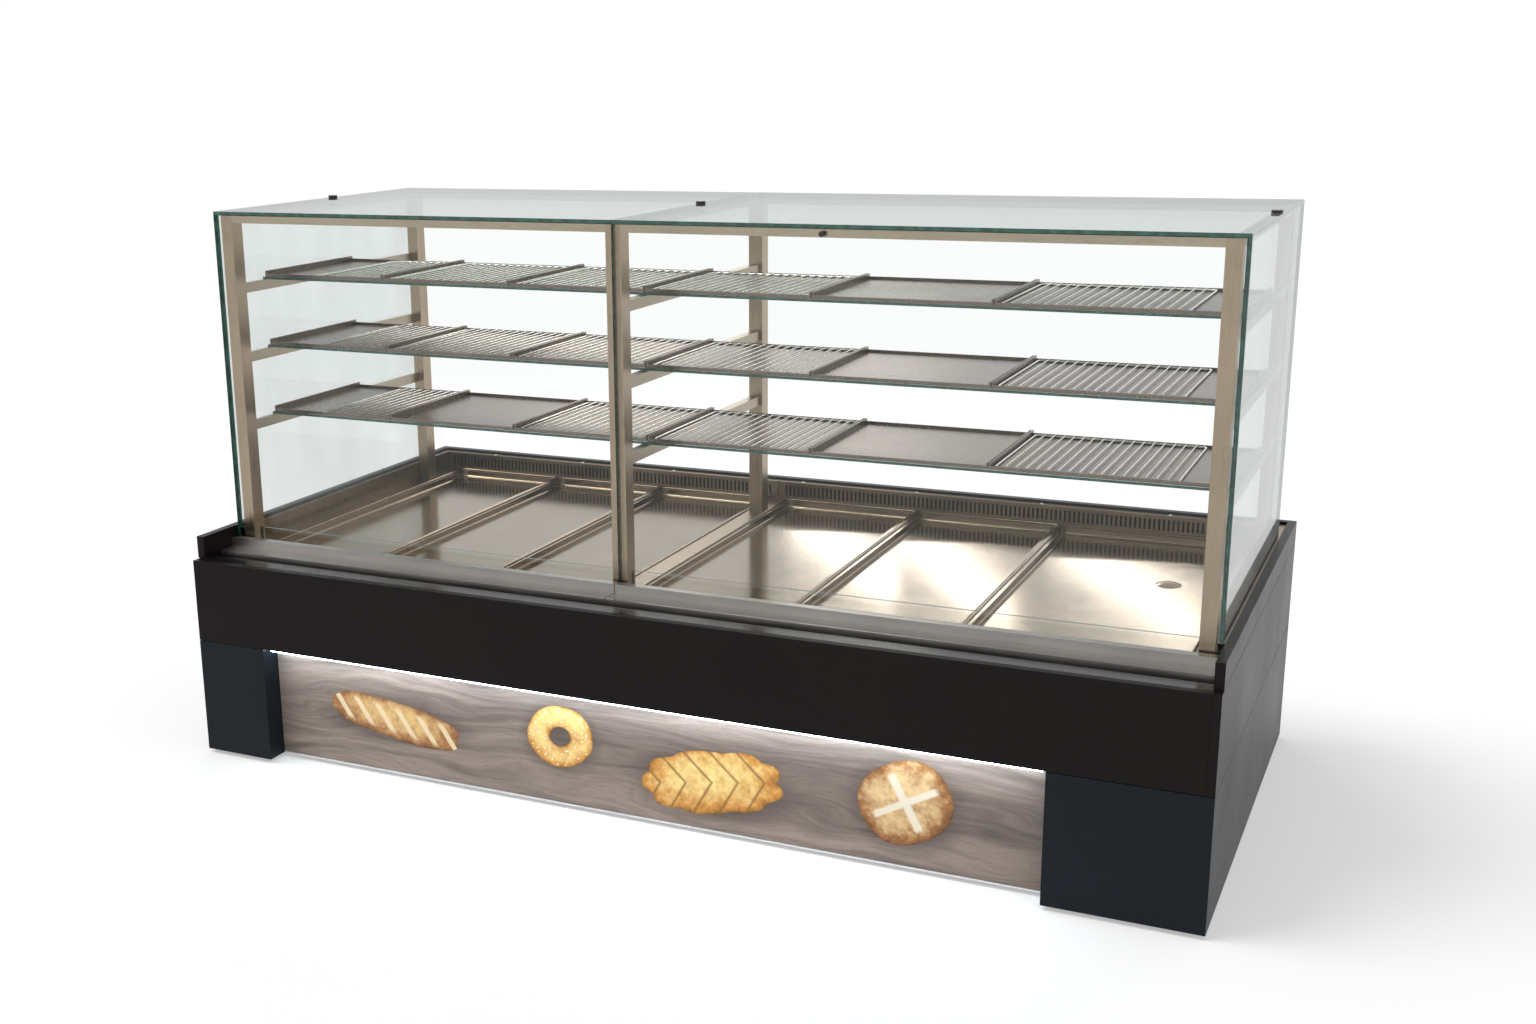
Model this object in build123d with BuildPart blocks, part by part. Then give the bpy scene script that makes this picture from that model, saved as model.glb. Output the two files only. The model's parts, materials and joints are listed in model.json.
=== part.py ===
"""Heated pastry display case: two glass modules with heated wells on a board base.

Millimetres. X runs along the case, the customer side faces -Y and Z is up. The origin is the middle
of the case on the floor.
"""

import os
from math import sqrt

from build123d import *

os.makedirs("parts", exist_ok=True)

# Overall sizes
case_length = 2500.0
case_depth = 1200.0
module_joint_x = -120.0

# Boards
board = 19.0
rim_board = 20.0
soffit_board = 18.0
backing_board = 16.0
shadow_gap = 1.5
seam_groove_height = 2.0
seam_groove_depth = 4.0
board_edge_radius = 0.8

# Heights above the floor
glide_height = 10.0
plinth_top_z = 305.5
worktop_z = 518.0
rim_height = 58.0
well_floor_z = 470.0

# Base front
left_plinth_width = 200.0
right_plinth_width = 330.0
graphic_recess = 58.0
graphic_thickness = 3.0
edge_trim_height = 4.0
edge_trim_depth = 5.0
light_strip_depth = 18.0
light_strip_height = 10.0
light_strip_end_gap = 10.0
ledge_depth = 41.0
ledge_gap = 22.0
rim_setback = 22.0

# Glides
glide_radius = 20.0
glide_inset = 70.0
glide_rows_per_side = 4

# Box beam, bearers and partitions
box_beam_depth = 124.0
beam_wall = 19.0
bearer_inset = 50.0
bearer_rear_gap = 95.0
partition_inset = 190.0

# Sheet metal
sheet = 2.0
thin_sheet = 1.5
module_gap = 2.0
side_clearance = 1.0

# Nosing
nosing_lip_drop = 27.0
nosing_rise = 9.0
nosing_step_depth = 50.0
nosing_upstand_height = 21.0
nosing_upstand_depth = 22.0

# Wells
well_side_inset = 36.0
well_rear_inset = 42.0
well_flange_z = 570.0
well_front_flange_z = 527.0
duct_ledge_z = 510.0

# Vent strip
slot_width = 6.0
slot_height = 30.0
slot_pitch = 12.0
slot_top_gap = 10.0

# Tray rails
side_rail_width = 62.0
centre_rail_width = 32.0
divider_rail_width = 20.0
centre_cap_width = 46.0

# Deck trays
deck_tray_rim_z = 520.0
deck_tray_flange = 12.0
deck_tray_depth = 18.0
deck_tray_gap = 2.0
deck_tray_bead = 3.0
deck_tray_bead_height = 3.0
deck_tray_corner = 14.0
deck_tray_floor_radius = 7.0
deck_tray_end_gap = 4.0
left_deck_start_gap = 54.0
centre_deck_gap = 25.0
wide_tray_share = 1.25
boss_radius = 32.0
boss_height = 8.0
boss_offset = (100.0, 78.0)
boss_tray = ("right", 3)

# Heating elements
heater_radius = 4.0
heater_legs = 4
heater_bend = 24.0
heater_gap = 0.3
heater_edge_gap = 80.0

# Fans
fan_side = 119.0
fan_depth = 38.0
fan_corner = 6.0
fan_bore_radius = 56.0
fan_strut = 6.0
fan_pin_radius = 4.0
fan_running_gap = 0.05
fan_hub_radius = 20.0
fan_hub_length = 24.0
fan_hub_gap = 1.0
fan_motor_length = 8.0
fan_blades = 7
fan_blade_thickness = 2.0
fan_blade_reach = 52.0
fan_blade_width = 20.0
fan_blade_pitch = 35.0
fan_rear_gap = 38.0

# Glass
pane = 8.0
glass_top_z = 1378.0
front_glass_gap = 2.0
rear_glass_inset = 128.0
glass_joint_gap = 1.0
side_glass_gap = 24.0
guard_pane = 6.0
guard_height = 40.0
guard_setback = 34.0
guard_end_gap = 2.0

# Posts and rails
post_width = 32.0
centre_post_width = 38.0
post_depth = 40.0
post_wall = 2.0
post_side_gap = 8.0
rail = 20.0
depth_bar_width = 20.0
shelf_bar_width = 12.0
shelf_bar_height = 25.0
centre_bar_width = 24.0

# Shelves
shelf_levels = ("low", "mid", "top")
first_shelf_z = 848.0
shelf_pitch = 176.0
shelf_pane = 6.0
shelf_front_gap = 159.0
shelf_depth = 390.0
shelf_end_gap = 6.0

# Shelf trays
shelf_tray_gap = 2.0
shelf_tray_lip = 8.0
shelf_tray_side_lip = 15.0
shelf_tray_lip_width = 4.0
shelf_tray_edge = 4.0
shelf_tray_hem = 2.0
shelf_tray_lip_radius = 1.3

# Wire racks
rack_clearance = 4.0
rack_frame_radius = 2.5
rack_wire_radius = 1.5
rack_wire_pitch = 22.0
rack_floor_gap = 0.3
rack_corner_radius = 10.0
rack_part_share = 0.6

# Clips
clip_radius = 12.0
clip_height = 6.0
clip_inset = 14.0
clip_rear_y = 40.0
front_clip_x = 372.0

# Controls on the staff side
panel_width = 250.0
panel_height = 110.0
panel_overlap = 12.0
panel_thickness = 3.0
panel_inset = 350.0
panel_z = 415.0
spindle_radius = 3.0
spindle_hole_gap = 0.05
spindle_reach = 12.0
knob_radius = 19.0
knob_height = 14.0
knob_pointer = 3.0
knob_gap = 0.5
switch_width = 30.0
switch_length = 22.0
switch_cheek = 3.0
switch_cheek_height = 10.0
switch_axle_radius = 1.5
switch_axle_gap = 0.05
switch_side_gap = 0.5
switch_thickness = 8.0
switch_tilt = 8.0
switch_spacing = 50.0
knob_x_shift = -65.0
switch_x_shift = 10.0

# Cable gland
gland_inset = 150.0
gland_z = 80.0
gland_bore_radius = 5.5
gland_body_radius = 9.0
gland_flange_radius = 15.0
gland_flange = 8.0
gland_fit_gap = 0.05

# Planes and limits worked out from the sizes above
half_length = case_length / 2
front_y = -case_depth / 2
rear_y = case_depth / 2
inner_x = half_length - board
rim_x = half_length - rim_board
upper_z = plinth_top_z + shadow_gap
soffit_z = upper_z + soffit_board
rim_top_z = worktop_z + rim_height
board_front_y = front_y + board
board_rear_y = rear_y - board
graphic_left_x = left_plinth_width - half_length
graphic_right_x = half_length - right_plinth_width
graphic_y = front_y + graphic_recess
backing_y = graphic_y + graphic_thickness
floor_board_y = backing_y + backing_board
ledge_rear_y = board_front_y + ledge_depth
nosing_front_y = ledge_rear_y + ledge_gap
nosing_x = rim_x - side_clearance
beam_front_y = nosing_front_y + sheet
beam_rear_y = beam_front_y + box_beam_depth
beam_top_z = well_front_flange_z - sheet
upstand_y = nosing_front_y + nosing_step_depth
upstand_rear_y = upstand_y + nosing_upstand_depth
well_side_x = half_length - well_side_inset
well_front_y = beam_rear_y
well_rear_y = rear_y - well_rear_inset
rim_inner_y = rear_y - rim_board
left_joint_x = module_joint_x - module_gap / 2
right_joint_x = module_joint_x + module_gap / 2
rail_top_z = deck_tray_rim_z - thin_sheet
well_inner_z = well_floor_z + sheet
glass_x = half_length - side_glass_gap
glass_under_z = glass_top_z - pane
front_glass_y = upstand_rear_y + front_glass_gap
rear_glass_y = well_rear_y - rear_glass_inset
front_post_y = front_glass_y + pane
rear_post_y = rear_glass_y - post_depth
post_outer_x = glass_x - pane - post_side_gap
post_inner_x = post_outer_x - post_width
shelf_front_y = front_glass_y + shelf_front_gap
shelf_rear_y = shelf_front_y + shelf_depth
shelf_tops = [first_shelf_z + level * shelf_pitch for level in range(len(shelf_levels))]
shelf_end_x = glass_x - pane - shelf_end_gap
panel_x = half_length - panel_inset
gland_x = half_length - gland_inset


def span(middle, length):
    """Return the two limits of a length that is centred on a middle."""
    return (middle - length / 2, middle + length / 2)


def block(x_span, y_span, z_span, mode=Mode.ADD):
    """Add or cut one rectangular block, given by its limits."""
    middle = [(low + high) / 2 for low, high in (x_span, y_span, z_span)]
    lengths = [high - low for low, high in (x_span, y_span, z_span)]
    with Locations(tuple(middle)):
        Box(*lengths, mode=mode)


def soften(piece, radius):
    """Round every edge of a straight-edged piece."""
    fillet(piece.edges(), radius=radius)


def keep(piece, label):
    """Label a finished piece and write its file."""
    piece.part.label = label
    export_step(piece.part, f"parts/{label}.step")


# Glides under the side panels and partitions
glide_rows = [front_y + glide_inset + row * (case_depth - 2 * glide_inset) / (glide_rows_per_side - 1)
              for row in range(glide_rows_per_side)]
with BuildPart() as glides:
    for glide_x in (-half_length + glide_inset, half_length - glide_inset):
        for glide_y in glide_rows:
            with Locations((glide_x, glide_y, glide_height / 2)):
                Cylinder(glide_radius, glide_height)
keep(glides, "glides")

# Lower base boards
lower_z = (glide_height, plinth_top_z)
with BuildPart() as base_floor:
    block((-inner_x, inner_x), (floor_board_y, board_rear_y), (glide_height, glide_height + soffit_board))
keep(base_floor, "base_floor")

side_boards = ((-half_length, -inner_x), (inner_x, half_length))
with BuildPart() as sides_lower:
    for x_span in side_boards:
        block(x_span, (board_front_y, rear_y), lower_z)
    soften(sides_lower, board_edge_radius)
keep(sides_lower, "sides_lower")

with BuildPart() as rear_panel_lower:
    block((-inner_x, inner_x), (board_rear_y, rear_y), lower_z)
    soften(rear_panel_lower, board_edge_radius)
    with Locations(Plane((gland_x, rear_y, gland_z), x_dir=(1, 0, 0), z_dir=(0, 1, 0))):
        Hole(gland_body_radius + gland_fit_gap)
keep(rear_panel_lower, "rear_panel_lower")

with BuildPart() as plinths:
    block((-half_length, graphic_left_x), (front_y, board_front_y), lower_z)
    block((graphic_left_x - board, graphic_left_x), (board_front_y, backing_y), lower_z)
    block((graphic_right_x, half_length), (front_y, board_front_y), lower_z)
    block((graphic_right_x, graphic_right_x + board), (board_front_y, backing_y), lower_z)
    soften(plinths, board_edge_radius)
keep(plinths, "plinths")

with BuildPart() as graphic_backing:
    block((graphic_left_x - board, graphic_right_x + board), (backing_y, floor_board_y),
          (glide_height, upper_z))
keep(graphic_backing, "graphic_backing")

graphic_bottom_z = glide_height + edge_trim_height
with BuildPart() as graphic_panel:
    block((graphic_left_x, graphic_right_x), (graphic_y, backing_y), (graphic_bottom_z, upper_z))
keep(graphic_panel, "graphic_panel")

with BuildPart() as graphic_edge:
    block((graphic_left_x, graphic_right_x), (backing_y - edge_trim_depth, backing_y),
          (glide_height, graphic_bottom_z))
keep(graphic_edge, "graphic_edge")

with BuildPart() as light_strip:
    block((graphic_left_x + light_strip_end_gap, graphic_right_x - light_strip_end_gap),
          (board_front_y, board_front_y + light_strip_depth), (upper_z - light_strip_height, upper_z))
keep(light_strip, "light_strip")

# Upper base boards
upper_band_z = (upper_z, worktop_z)
with BuildPart() as mid_board:
    block((-inner_x, inner_x), (board_front_y, board_rear_y), (upper_z, soffit_z))
keep(mid_board, "mid_board")

with BuildPart() as sides_upper:
    for x_span in side_boards:
        block(x_span, (front_y, rear_y), upper_band_z)
    soften(sides_upper, board_edge_radius)
keep(sides_upper, "sides_upper")

with BuildPart() as fascia:
    block((-inner_x, inner_x), (front_y, board_front_y), upper_band_z)
    soften(fascia, board_edge_radius)
keep(fascia, "fascia")

with BuildPart() as ledge:
    block((-inner_x, inner_x), (board_front_y, ledge_rear_y), (worktop_z - board, worktop_z))
keep(ledge, "ledge")

with BuildPart() as rear_panel_upper:
    block((-inner_x, inner_x), (board_rear_y, rear_y), upper_band_z)
    soften(rear_panel_upper, board_edge_radius)
    block(span(panel_x, panel_width - 2 * panel_overlap), (board_rear_y, rear_y),
          span(panel_z, panel_height - 2 * panel_overlap), Mode.SUBTRACT)
keep(rear_panel_upper, "rear_panel_upper")

# Rims stand on the upper boards over a fine shadow groove
groove_z = (worktop_z, worktop_z + seam_groove_height)
rim_front_y = front_y + rim_setback
with BuildPart() as rims_side:
    block((-half_length, -rim_x), (rim_front_y, rear_y), (worktop_z, rim_top_z))
    block((rim_x, half_length), (rim_front_y, rear_y), (worktop_z, rim_top_z))
    block((-half_length, -half_length + seam_groove_depth), (rim_front_y, rear_y), groove_z, Mode.SUBTRACT)
    block((half_length - seam_groove_depth, half_length), (rim_front_y, rear_y), groove_z, Mode.SUBTRACT)
keep(rims_side, "rims_side")

with BuildPart() as rim_rear:
    block((-rim_x, rim_x), (rim_inner_y, rear_y), (worktop_z, rim_top_z))
    block((-rim_x, rim_x), (rear_y - seam_groove_depth, rear_y), groove_z, Mode.SUBTRACT)
keep(rim_rear, "rim_rear")

# Box beam under the nosing
with BuildPart() as box_beam:
    block((-rim_x, rim_x), (beam_front_y, beam_rear_y), (soffit_z, beam_top_z))
    block((-rim_x, rim_x), (beam_front_y + beam_wall, beam_rear_y - beam_wall),
          (soffit_z + beam_wall, beam_top_z - beam_wall), Mode.SUBTRACT)
keep(box_beam, "box_beam")

# Inner boards: partitions under the middle board and bearers under the wells
partition_z = (glide_height + soffit_board, upper_z)
bearer_rear_y = board_rear_y - bearer_rear_gap
with BuildPart() as inner_boards:
    for partition_x in (-half_length + partition_inset, module_joint_x, half_length - partition_inset):
        block(span(partition_x, board), (floor_board_y, board_rear_y), partition_z)
    for bearer_x in (-well_side_x + bearer_inset, left_joint_x - bearer_inset,
                     right_joint_x + bearer_inset, well_side_x - bearer_inset):
        block(span(bearer_x, board), (beam_rear_y, bearer_rear_y), (soffit_z, well_floor_z))
keep(inner_boards, "inner_boards")

# Nosings: a folded sheet with a front lip, a flat step and an upstand
nosing_step_z = worktop_z + nosing_rise
upstand_z = nosing_step_z + nosing_upstand_height
nosing_line = [(nosing_front_y, nosing_step_z - nosing_lip_drop), (nosing_front_y, nosing_step_z),
               (upstand_y, nosing_step_z), (upstand_y, upstand_z),
               (upstand_rear_y, upstand_z), (upstand_rear_y, nosing_step_z)]
with BuildPart() as nosings:
    for x_span in ((-nosing_x, left_joint_x), (right_joint_x, nosing_x)):
        with BuildSketch(Plane.YZ.offset(x_span[0])):
            with BuildLine():
                Polyline(*nosing_line)
                offset(amount=sheet, side=Side.RIGHT, kind=Kind.INTERSECTION)
            make_face()
        extrude(amount=x_span[1] - x_span[0])
keep(nosings, "nosings")

# Well liners: floor, walls, side flange for the side glass and front flange for posts and front glass
for side, outer_x, joint_x in (("left", -well_side_x, left_joint_x), ("right", well_side_x, right_joint_x)):
    outward = -1 if side == "left" else 1
    outer_wall = tuple(sorted((outer_x, outer_x - outward * sheet)))
    joint_wall = tuple(sorted((joint_x, joint_x + outward * sheet)))
    floor_x = tuple(sorted((outer_x, joint_x)))
    flange_x = tuple(sorted((outer_x, outward * rim_x)))
    front_flange_x = tuple(sorted((joint_x, outward * rim_x)))
    flange_z = (well_flange_z - sheet, well_flange_z)
    with BuildPart() as well:
        block(floor_x, (well_front_y, well_rear_y), (well_floor_z, well_inner_z))
        block(outer_wall, (well_front_y, well_rear_y), (well_floor_z, well_flange_z))
        block(outer_wall, (front_post_y + side_clearance, well_front_y), (beam_top_z, well_flange_z))
        block(flange_x, (front_post_y + side_clearance, rim_inner_y), flange_z)
        block(joint_wall, (well_front_y, well_rear_y - sheet), (well_floor_z, rail_top_z))
        block(floor_x, (well_front_y, well_front_y + sheet), (well_floor_z, well_front_flange_z))
        block(front_flange_x, (upstand_rear_y, well_front_y + sheet), (beam_top_z, well_front_flange_z))
        block(floor_x, (well_rear_y - sheet, well_rear_y), (well_floor_z, duct_ledge_z))
    keep(well, f"well_{side}")

# Vent strips over the rear walls of the wells
vent_y = (well_rear_y - thin_sheet, well_rear_y)
vent_slot_z = well_flange_z - slot_top_gap - slot_height / 2
with BuildPart() as vent_strips:
    for x_span in ((-well_side_x + sheet, left_joint_x), (right_joint_x, well_side_x - sheet)):
        slot_count = int((x_span[1] - x_span[0] - 2 * slot_pitch) / slot_pitch)
        block(x_span, vent_y, (duct_ledge_z, well_flange_z))
        block(x_span, (well_rear_y, rim_inner_y), (well_flange_z - thin_sheet, well_flange_z))
        with Locations((sum(x_span) / 2, sum(vent_y) / 2, vent_slot_z)):
            with GridLocations(slot_pitch, slot_pitch, slot_count, 1):
                Box(slot_width, 2 * thin_sheet, slot_height, mode=Mode.SUBTRACT)
keep(vent_strips, "vent_strips")

# Deck tray positions: three equal trays on the left, two equal and a wider one on the right
tray_front_y = well_front_y + sheet + deck_tray_end_gap
tray_rear_y = well_rear_y - thin_sheet - deck_tray_end_gap
left_deck = (-well_side_x + left_deck_start_gap, module_joint_x - centre_deck_gap)
right_deck = (module_joint_x + centre_deck_gap, well_side_x - left_deck_start_gap)


def sections(x_span, shares):
    """Divide a length into neighbouring spans with the given shares."""
    unit = (x_span[1] - x_span[0]) / sum(shares)
    edges = [x_span[0] + unit * sum(shares[:count]) for count in range(len(shares) + 1)]
    return list(zip(edges[:-1], edges[1:]))


module_shares = {"left": (1.0, 1.0, 1.0), "right": (1.0, 1.0, wide_tray_share)}
deck_sections = {"left": sections(left_deck, module_shares["left"]),
                 "right": sections(right_deck, module_shares["right"])}

# Rails under the tray flanges, standing on the floors of the wells
rail_y = (well_front_y + sheet, well_rear_y - sheet)
rail_z = (well_inner_z, rail_top_z)
with BuildPart() as tray_rails:
    for side_rail in ((-well_side_x + sheet, -well_side_x + sheet + side_rail_width),
                      (well_side_x - sheet - side_rail_width, well_side_x - sheet),
                      (left_joint_x - sheet - centre_rail_width, left_joint_x - sheet),
                      (right_joint_x + sheet, right_joint_x + sheet + centre_rail_width)):
        block(side_rail, rail_y, rail_z)
    for module_sections in deck_sections.values():
        for _, divider_x in module_sections[:-1]:
            block(span(divider_x, divider_rail_width), rail_y, rail_z)
keep(tray_rails, "tray_rails")

with BuildPart() as centre_cap:
    block(span(module_joint_x, centre_cap_width), rail_y, (rail_top_z, rail_top_z + sheet))
keep(centre_cap, "centre_cap")

# Deck trays: a rounded pan that hangs by its flange, with a raised bead all round
deck_tray_length = tray_rear_y - tray_front_y
deck_tray_middle_y = (tray_front_y + tray_rear_y) / 2
deck_floor_z = deck_tray_rim_z - deck_tray_depth
boss_base_z = deck_floor_z + thin_sheet / 2
boss_sphere = (boss_radius ** 2 + boss_height ** 2) / (2 * boss_height)
boss_half_way_z = boss_base_z + boss_height - boss_sphere + sqrt(boss_sphere ** 2 - boss_radius ** 2 / 4)
for side, module_sections in deck_sections.items():
    for number, section in enumerate(module_sections, start=1):
        tray_width = section[1] - section[0] - deck_tray_gap
        tray_x = sum(section) / 2
        pan_width = tray_width - 2 * deck_tray_flange
        pan_length = deck_tray_length - 2 * deck_tray_flange
        tray_plane = Plane((tray_x, deck_tray_middle_y, 0))
        with BuildPart(mode=Mode.PRIVATE) as hollow:
            with BuildSketch(tray_plane.offset(deck_floor_z + thin_sheet)):
                RectangleRounded(pan_width - 2 * thin_sheet, pan_length - 2 * thin_sheet,
                                 deck_tray_corner - thin_sheet)
            extrude(amount=deck_tray_depth)
            fillet(hollow.faces().sort_by(Axis.Z)[0].edges(), radius=deck_tray_floor_radius - thin_sheet)
        with BuildPart() as deck_tray:
            with BuildSketch(tray_plane.offset(rail_top_z)):
                RectangleRounded(tray_width, deck_tray_length, deck_tray_corner)
            extrude(amount=thin_sheet)
            with BuildSketch(tray_plane.offset(deck_tray_rim_z)):
                RectangleRounded(tray_width, deck_tray_length, deck_tray_corner)
                offset(amount=-deck_tray_bead, mode=Mode.SUBTRACT)
            extrude(amount=deck_tray_bead_height)
            with BuildSketch(tray_plane.offset(deck_floor_z)):
                RectangleRounded(pan_width, pan_length, deck_tray_corner)
            extrude(amount=deck_tray_depth)
            fillet(deck_tray.faces().sort_by(Axis.Z)[0].edges(), radius=deck_tray_floor_radius)
            add(hollow.part, mode=Mode.SUBTRACT)
            if (side, number) == boss_tray:
                boss_origin = (tray_x + boss_offset[0], deck_tray_middle_y + boss_offset[1], 0)
                with BuildSketch(Plane(boss_origin, x_dir=(1, 0, 0), z_dir=(0, -1, 0))):
                    with BuildLine():
                        Line((0, boss_base_z), (boss_radius, boss_base_z))
                        ThreePointArc((boss_radius, boss_base_z), (boss_radius / 2, boss_half_way_z),
                                      (0, boss_base_z + boss_height))
                        Line((0, boss_base_z + boss_height), (0, boss_base_z))
                    make_face()
                revolve(axis=Axis(boss_origin, (0, 0, 1)))
        keep(deck_tray, f"deck_tray_{side}_{number}")

# Heating elements: one looped tube under each deck tray
heater_z = well_inner_z + heater_gap + heater_radius
heater_y = (rail_y[0] + heater_edge_gap, rail_y[1] - heater_edge_gap)
with BuildPart() as heaters:
    for section in deck_sections["left"] + deck_sections["right"]:
        first_leg_x = section[0] + heater_edge_gap
        leg_pitch = (section[1] - section[0] - 2 * heater_edge_gap) / (heater_legs - 1)
        corners = []
        for leg in range(heater_legs):
            leg_x = first_leg_x + leg * leg_pitch
            leg_ends = heater_y if leg % 2 == 0 else heater_y[::-1]
            corners += [(leg_x, end_y, heater_z) for end_y in leg_ends]
        with BuildLine() as heater_path:
            FilletPolyline(*corners, radius=heater_bend)
        with BuildSketch(Plane(corners[0], x_dir=(1, 0, 0), z_dir=(0, 1, 0))):
            Circle(heater_radius)
        sweep(path=heater_path.line)
keep(heaters, "heaters")

# Fans stand on the middle board and blow up behind the wells
fan_y = board_rear_y - fan_rear_gap - fan_depth
fan_z = soffit_z + fan_side / 2
fan_places = {"left": (-well_side_x + left_joint_x) / 2, "right": (well_side_x + right_joint_x) / 2}
hub_start = fan_motor_length + fan_hub_gap
with BuildPart() as fan_frames:
    for fan_x in fan_places.values():
        fan_plane = Plane((fan_x, fan_y, fan_z), x_dir=(1, 0, 0), z_dir=(0, 1, 0))
        with BuildSketch(fan_plane):
            RectangleRounded(fan_side, fan_side, fan_corner)
            Circle(fan_bore_radius, mode=Mode.SUBTRACT)
        extrude(amount=fan_depth)
        with BuildSketch(fan_plane):
            Rectangle(2 * fan_bore_radius + fan_strut, fan_strut)
            Rectangle(fan_strut, 2 * fan_bore_radius + fan_strut)
            Circle(fan_hub_radius)
        extrude(amount=fan_motor_length)
        with BuildSketch(fan_plane.offset(fan_motor_length)):
            Circle(fan_pin_radius)
        extrude(amount=fan_hub_gap + fan_hub_length)
keep(fan_frames, "fan_frames")

blade_length = fan_blade_reach - fan_hub_radius + fan_blade_thickness
blade_middle = fan_blade_reach - blade_length / 2
for side, fan_x in fan_places.items():
    with BuildPart(Plane((fan_x, fan_y, fan_z), x_dir=(1, 0, 0), z_dir=(0, 1, 0))) as fan_rotor:
        with Locations((0, 0, hub_start + fan_hub_length / 2)):
            Cylinder(fan_hub_radius, fan_hub_length)
            with PolarLocations(blade_middle, fan_blades):
                with Locations(Location((0, 0, 0), (fan_blade_pitch, 0, 0))):
                    Box(blade_length, fan_blade_thickness, fan_blade_width)
            Cylinder(fan_pin_radius + fan_running_gap, fan_hub_length, mode=Mode.SUBTRACT)
    keep(fan_rotor, f"fan_rotor_{side}")

# Posts: rounded square tubes, the front three on the wells' front flanges
centre_post_x = span(module_joint_x, centre_post_width)
post_columns = ((-post_outer_x, -post_inner_x), centre_post_x, (post_inner_x, post_outer_x))
front_post_span = (front_post_y, front_post_y + post_depth)
rear_post_span = (rear_post_y, rear_glass_y)


def post(x_span, y_span, bottom_z):
    """Add one hollow post that reaches up to the top glass."""
    post_plane = Plane((sum(x_span) / 2, sum(y_span) / 2, bottom_z))
    width = x_span[1] - x_span[0]
    with Locations(post_plane):
        Box(width, post_depth, glass_under_z - bottom_z, align=(Align.CENTER, Align.CENTER, Align.MIN))
        Box(width - 2 * post_wall, post_depth - 2 * post_wall, glass_under_z - bottom_z,
            align=(Align.CENTER, Align.CENTER, Align.MIN), mode=Mode.SUBTRACT)


with BuildPart() as posts:
    for column in post_columns:
        post(column, front_post_span, well_front_flange_z)
        post(column, rear_post_span, rail_top_z + (sheet if column == centre_post_x else 0))
keep(posts, "posts")

# Top rails along the case and bars from front to rear
module_spans = {"left": (-post_inner_x, centre_post_x[0]), "right": (centre_post_x[1], post_inner_x)}
bar_y = (front_post_span[1], rear_post_y)
top_rail_z = (glass_under_z - rail, glass_under_z)
with BuildPart() as top_rails:
    for x_span in module_spans.values():
        block(x_span, (front_post_y, front_post_y + rail), top_rail_z)
        block(x_span, (rear_glass_y - rail, rear_glass_y), top_rail_z)
    for x_span in ((-post_outer_x, -post_outer_x + depth_bar_width), span(module_joint_x, depth_bar_width),
                   (post_outer_x - depth_bar_width, post_outer_x)):
        block(x_span, bar_y, top_rail_z)
keep(top_rails, "top_rails")

with BuildPart() as shelf_bars:
    for shelf_z in shelf_tops:
        bar_z = (shelf_z - shelf_pane - shelf_bar_height, shelf_z - shelf_pane)
        for x_span in ((-post_outer_x, -post_outer_x + shelf_bar_width),
                       span(module_joint_x, centre_bar_width),
                       (post_outer_x - shelf_bar_width, post_outer_x)):
            block(x_span, bar_y, bar_z)
keep(shelf_bars, "shelf_bars")

# Glass
left_glass_x = (-glass_x, module_joint_x - glass_joint_gap / 2)
right_glass_x = (module_joint_x + glass_joint_gap / 2, glass_x)
with BuildPart() as glass_front:
    for x_span in (left_glass_x, right_glass_x):
        block(x_span, (front_glass_y, front_post_y), (well_front_flange_z, glass_under_z))
keep(glass_front, "glass_front")

with BuildPart() as glass_sides:
    for x_span in ((-glass_x, -glass_x + pane), (glass_x - pane, glass_x)):
        block(x_span, (front_post_y, rear_glass_y), (well_flange_z, glass_under_z))
keep(glass_sides, "glass_sides")

with BuildPart() as glass_top:
    for x_span in (left_glass_x, right_glass_x):
        block(x_span, (front_glass_y, rear_glass_y), (glass_under_z, glass_top_z))
keep(glass_top, "glass_top")

guard_y = (front_glass_y + guard_setback, front_glass_y + guard_setback + guard_pane)
with BuildPart() as guard_panes:
    for x_span in module_spans.values():
        block((x_span[0] + guard_end_gap, x_span[1] - guard_end_gap), guard_y,
              (well_front_flange_z, well_front_flange_z + guard_height))
keep(guard_panes, "guard_panes")

shelf_y = (shelf_front_y, shelf_rear_y)
shelf_spans = {"left": (-shelf_end_x, left_glass_x[1]), "right": (right_glass_x[0], shelf_end_x)}
with BuildPart() as shelf_glass:
    for shelf_z in shelf_tops:
        for x_span in shelf_spans.values():
            block(x_span, shelf_y, (shelf_z - shelf_pane, shelf_z))
keep(shelf_glass, "shelf_glass")

# Clips: round buttons over the top glass, small blocks under it and one button on the front glass
with BuildPart() as glass_clips:
    for clip_x in (-glass_x + clip_inset, module_joint_x, glass_x - clip_inset):
        with Locations((clip_x, clip_rear_y, glass_top_z + clip_height / 2)):
            Cylinder(clip_radius, clip_height)
    for x_span in ((-glass_x + pane, -post_outer_x), (post_outer_x, glass_x - pane)):
        block(x_span, span(clip_rear_y, clip_radius), (glass_under_z - clip_radius, glass_under_z))
    with BuildSketch(Plane.XZ.offset(-front_glass_y)):
        with Locations((front_clip_x, glass_under_z - clip_radius)):
            Circle(clip_radius / 2)
    extrude(amount=clip_height / 2)
keep(glass_clips, "glass_clips")

# Shelf trays: flat sheets with low front and rear lips and higher side lips
tray_y = (shelf_front_y + shelf_tray_edge, shelf_rear_y - shelf_tray_edge)
shelf_sections = {
    "left": sections((-shelf_end_x + shelf_tray_edge, left_glass_x[1]), module_shares["left"]),
    "right": sections((right_glass_x[0], shelf_end_x - shelf_tray_edge), module_shares["right"]),
}


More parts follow.
